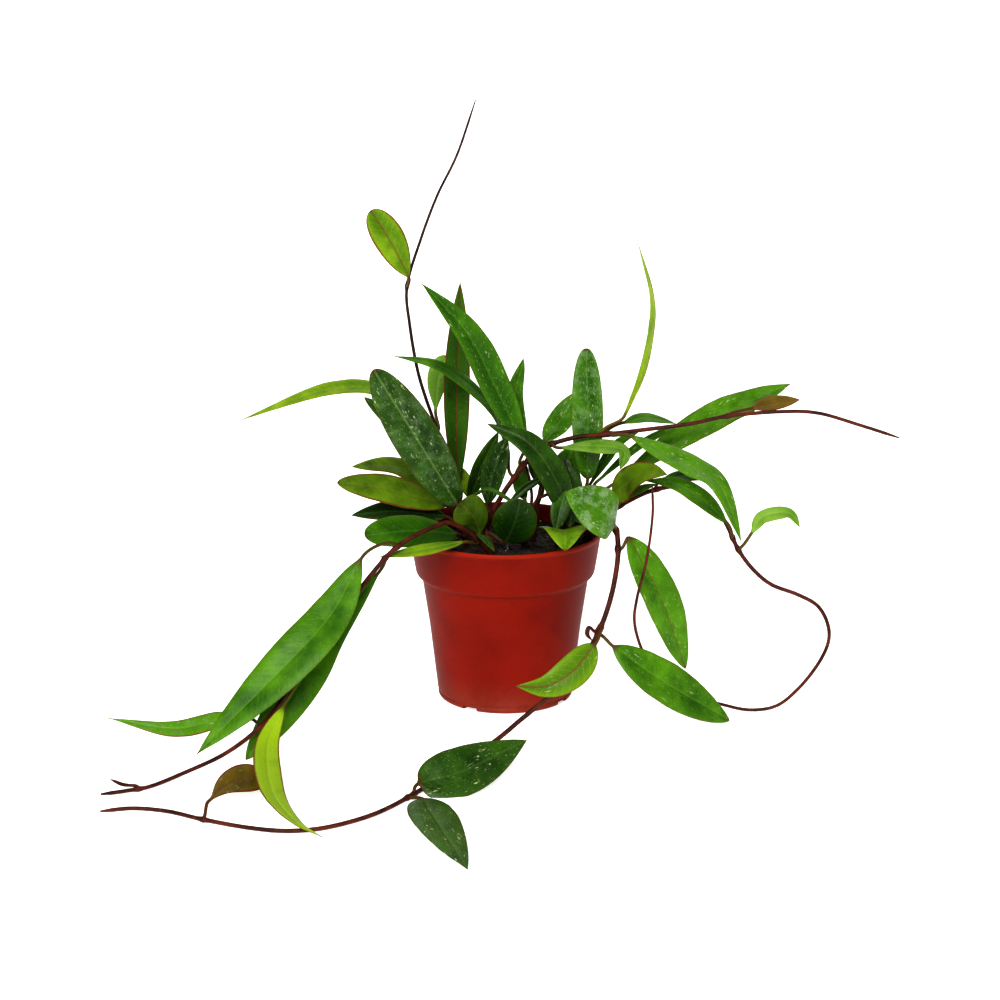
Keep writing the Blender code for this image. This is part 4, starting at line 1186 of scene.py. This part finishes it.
# leaves that stand out
LEAF_LOOK = {
    "leaf_bushy_9": (1.05, 0.15, 0.55, 0.0), "leaf_right_4": (0.75, 0.10, 0.25, -0.4),
    "leaf_bushy_18": (0.90, 0.25, 0.30, 0.0), "leaf_bushy_19": (1.20, 0.10, 0.25, -0.3),
    "leaf_front_5": (0.85, 0.10, 0.20, 0.0), "leaf_front_6": (0.95, 0.10, 0.20, 0.3),
    "leaf_front_2": (0.75, 0.15, 0.30, 0.3), "leaf_front_1": (1.70, 0.10, 0.25, -0.1),
    "leaf_front_3": (0.45, 0.20, 0.65, -1.0), "leaf_front_4": (0.55, 0.15, 0.30, 0.1),
    "leaf_left_4": (0.10, 0.90, 0.20, 0.9), "leaf_left_5": (1.10, 1.00, 0.40, 0.6),
    "leaf_bushy_3": (0.15, 0.80, 0.25, 0.1), "leaf_bushy_4": (0.15, 0.60, 0.25, 0.1),
    "leaf_bushy_2": (0.10, 0.70, 0.20, -0.8), "leaf_bushy_1": (0.15, 0.15, 0.25, -0.3),
    "leaf_bushy_11": (0.30, 0.70, 0.80, 0.6), "leaf_bushy_7": (0.15, 0.15, 0.25, -0.4),
    "leaf_bushy_8": (0.10, 0.15, 0.15, -1.0), "leaf_bushy_12": (0.15, 0.10, 0.20, -0.3),
    "leaf_loop_3": (0.60, 0.40, 0.30, 0.1), "leaf_left_2": (0.15, 0.10, 0.30, 0.0),
    "leaf_left_3": (0.10, 0.10, 0.30, -0.3), "leaf_right_9": (0.95, 0.15, 0.30, 0.6),
    "leaf_loop_1": (0.15, 0.85, 0.30, 0.0), "leaf_loop_2": (0.20, 0.70, 0.30, 0.2),
    "leaf_upright_2": (0.35, 0.80, 0.55, -0.4), "leaf_right_10": (0.10, 1.00, 0.45, 0.3),
    "leaf_right_7": (0.05, 0.50, 0.30, 0.2), "leaf_front_7": (0.35, 0.90, 0.45, 0.3),
    "leaf_right_2": (0.15, 0.15, 0.25, -0.5), "leaf_right_5": (1.00, 0.10, 0.30, -0.4),
    "leaf_bushy_13": (0.25, 0.10, 0.20, -0.4), "leaf_right_1": (0.90, 0.10, 0.20, -0.4),
}
OLIVE_LEAVES = ("leaf_bushy_3", "leaf_bushy_4", "leaf_bushy_7", "leaf_loop_1")
BROWN_RIBS = ("leaf_bushy_11", "leaf_front_3", "leaf_upright_2", "leaf_front_2")
print("leaves with their own look", len(LEAF_LOOK))

# %% [markdown]
# ## Making the leaves
# The centre line starts at the stem's skin, leaves it squarely as a real petiole does, and
# runs into the blade's own midrib.  Python works that line out and gives each of its points
# the way the upper side faces.  The tree above does the rest.

# %% Centre line of a leaf
PETIOLE_POINTS = 12
BLADE_POINTS = 16


def petiole(root, way, base, lead):
    """Points from the stem's skin to the blade's base, square to the stem at the start."""
    reach = (base - root).length
    points = []
    for index in range(PETIOLE_POINTS):
        t = index / PETIOLE_POINTS
        points.append(root * (2 * t ** 3 - 3 * t ** 2 + 1) + base * (3 * t ** 2 - 2 * t ** 3)
                      + way * (reach * (t ** 3 - 2 * t ** 2 + t))
                      + lead * (reach * (t ** 3 - t ** 2)))
    return points


def length_of(points):
    return sum((end - start).length for start, end in zip(points, points[1:]))


def leaf_line(stem, node, midrib):
    """Whole centre line, and the share of its length that the petiole takes."""
    point, run, radius = stem_node(stem, node)
    base = midrib[0]
    across = base - point
    way = (across - run * across.dot(run)).normalized()
    root = point + way * (0.7 * radius)
    blade = smooth_route(midrib, BLADE_POINTS)
    lead = (blade[1] - blade[0]).normalized()
    stalk = petiole(root, way, base, lead)
    share = length_of(stalk + [base]) / length_of(stalk + blade)
    return stalk + blade, len(stalk), share


# %% Make the leaves
EDGE_CURL = 0.10
EDGE_WAVE = 0.10
TONE_SPREAD = 0.2
GOLDEN_TURN = 2.399           # radians, which spreads the leaves' tones evenly


def make_leaf(row, number):
    name, stem, node, midrib, width, faces, fold, base_round, tip_round, kind = row
    points = [Vector(place) * MM for place in midrib]
    line, stalk, share = leaf_line(stem, Vector(node) * MM, points)
    start, end = Vector(faces[0]).normalized(), Vector(faces[-1]).normalized()
    count = len(line) - 1 - stalk
    upper = [start.lerp(end, max(0.0, (index - stalk) / count)) for index in range(len(line))]
    leaf = polyline(name + "_blade", line, upper=upper)
    flecks, margin, rib, tone = LEAF_LOOK.get(name, KIND_LOOK[kind])
    skin, slot = LEAF_SKIN["olive" if name in OLIVE_LEAVES else kind], "leaf_" + kind
    if name.startswith("side_"):
        skin, slot = BARK["brown"], "stem_bark"
    grow(leaf, LEAF_TREE, half_width=0.5 * width * MM, stalk_share=share,
         base_round=float(base_round), tip_round=float(tip_round), fold=math.radians(fold),
         curl=EDGE_CURL, wave=EDGE_WAVE, length=length_of(line[stalk:]), seed=float(number),
         tone=tone + TONE_SPREAD * math.sin(number * GOLDEN_TURN), flecks=flecks,
         margin=margin, rib=rib, brown_rib=float(name in BROWN_RIBS), material=skin)
    finish_piece(leaf, name if number < len(LEAVES) else None)
    return leaf


leaves = [make_leaf(row, number) for number, row in enumerate(LEAVES + INNER_LEAVES)]
print("leaf faces", sum(len(leaf.data.polygons) for leaf in leaves))
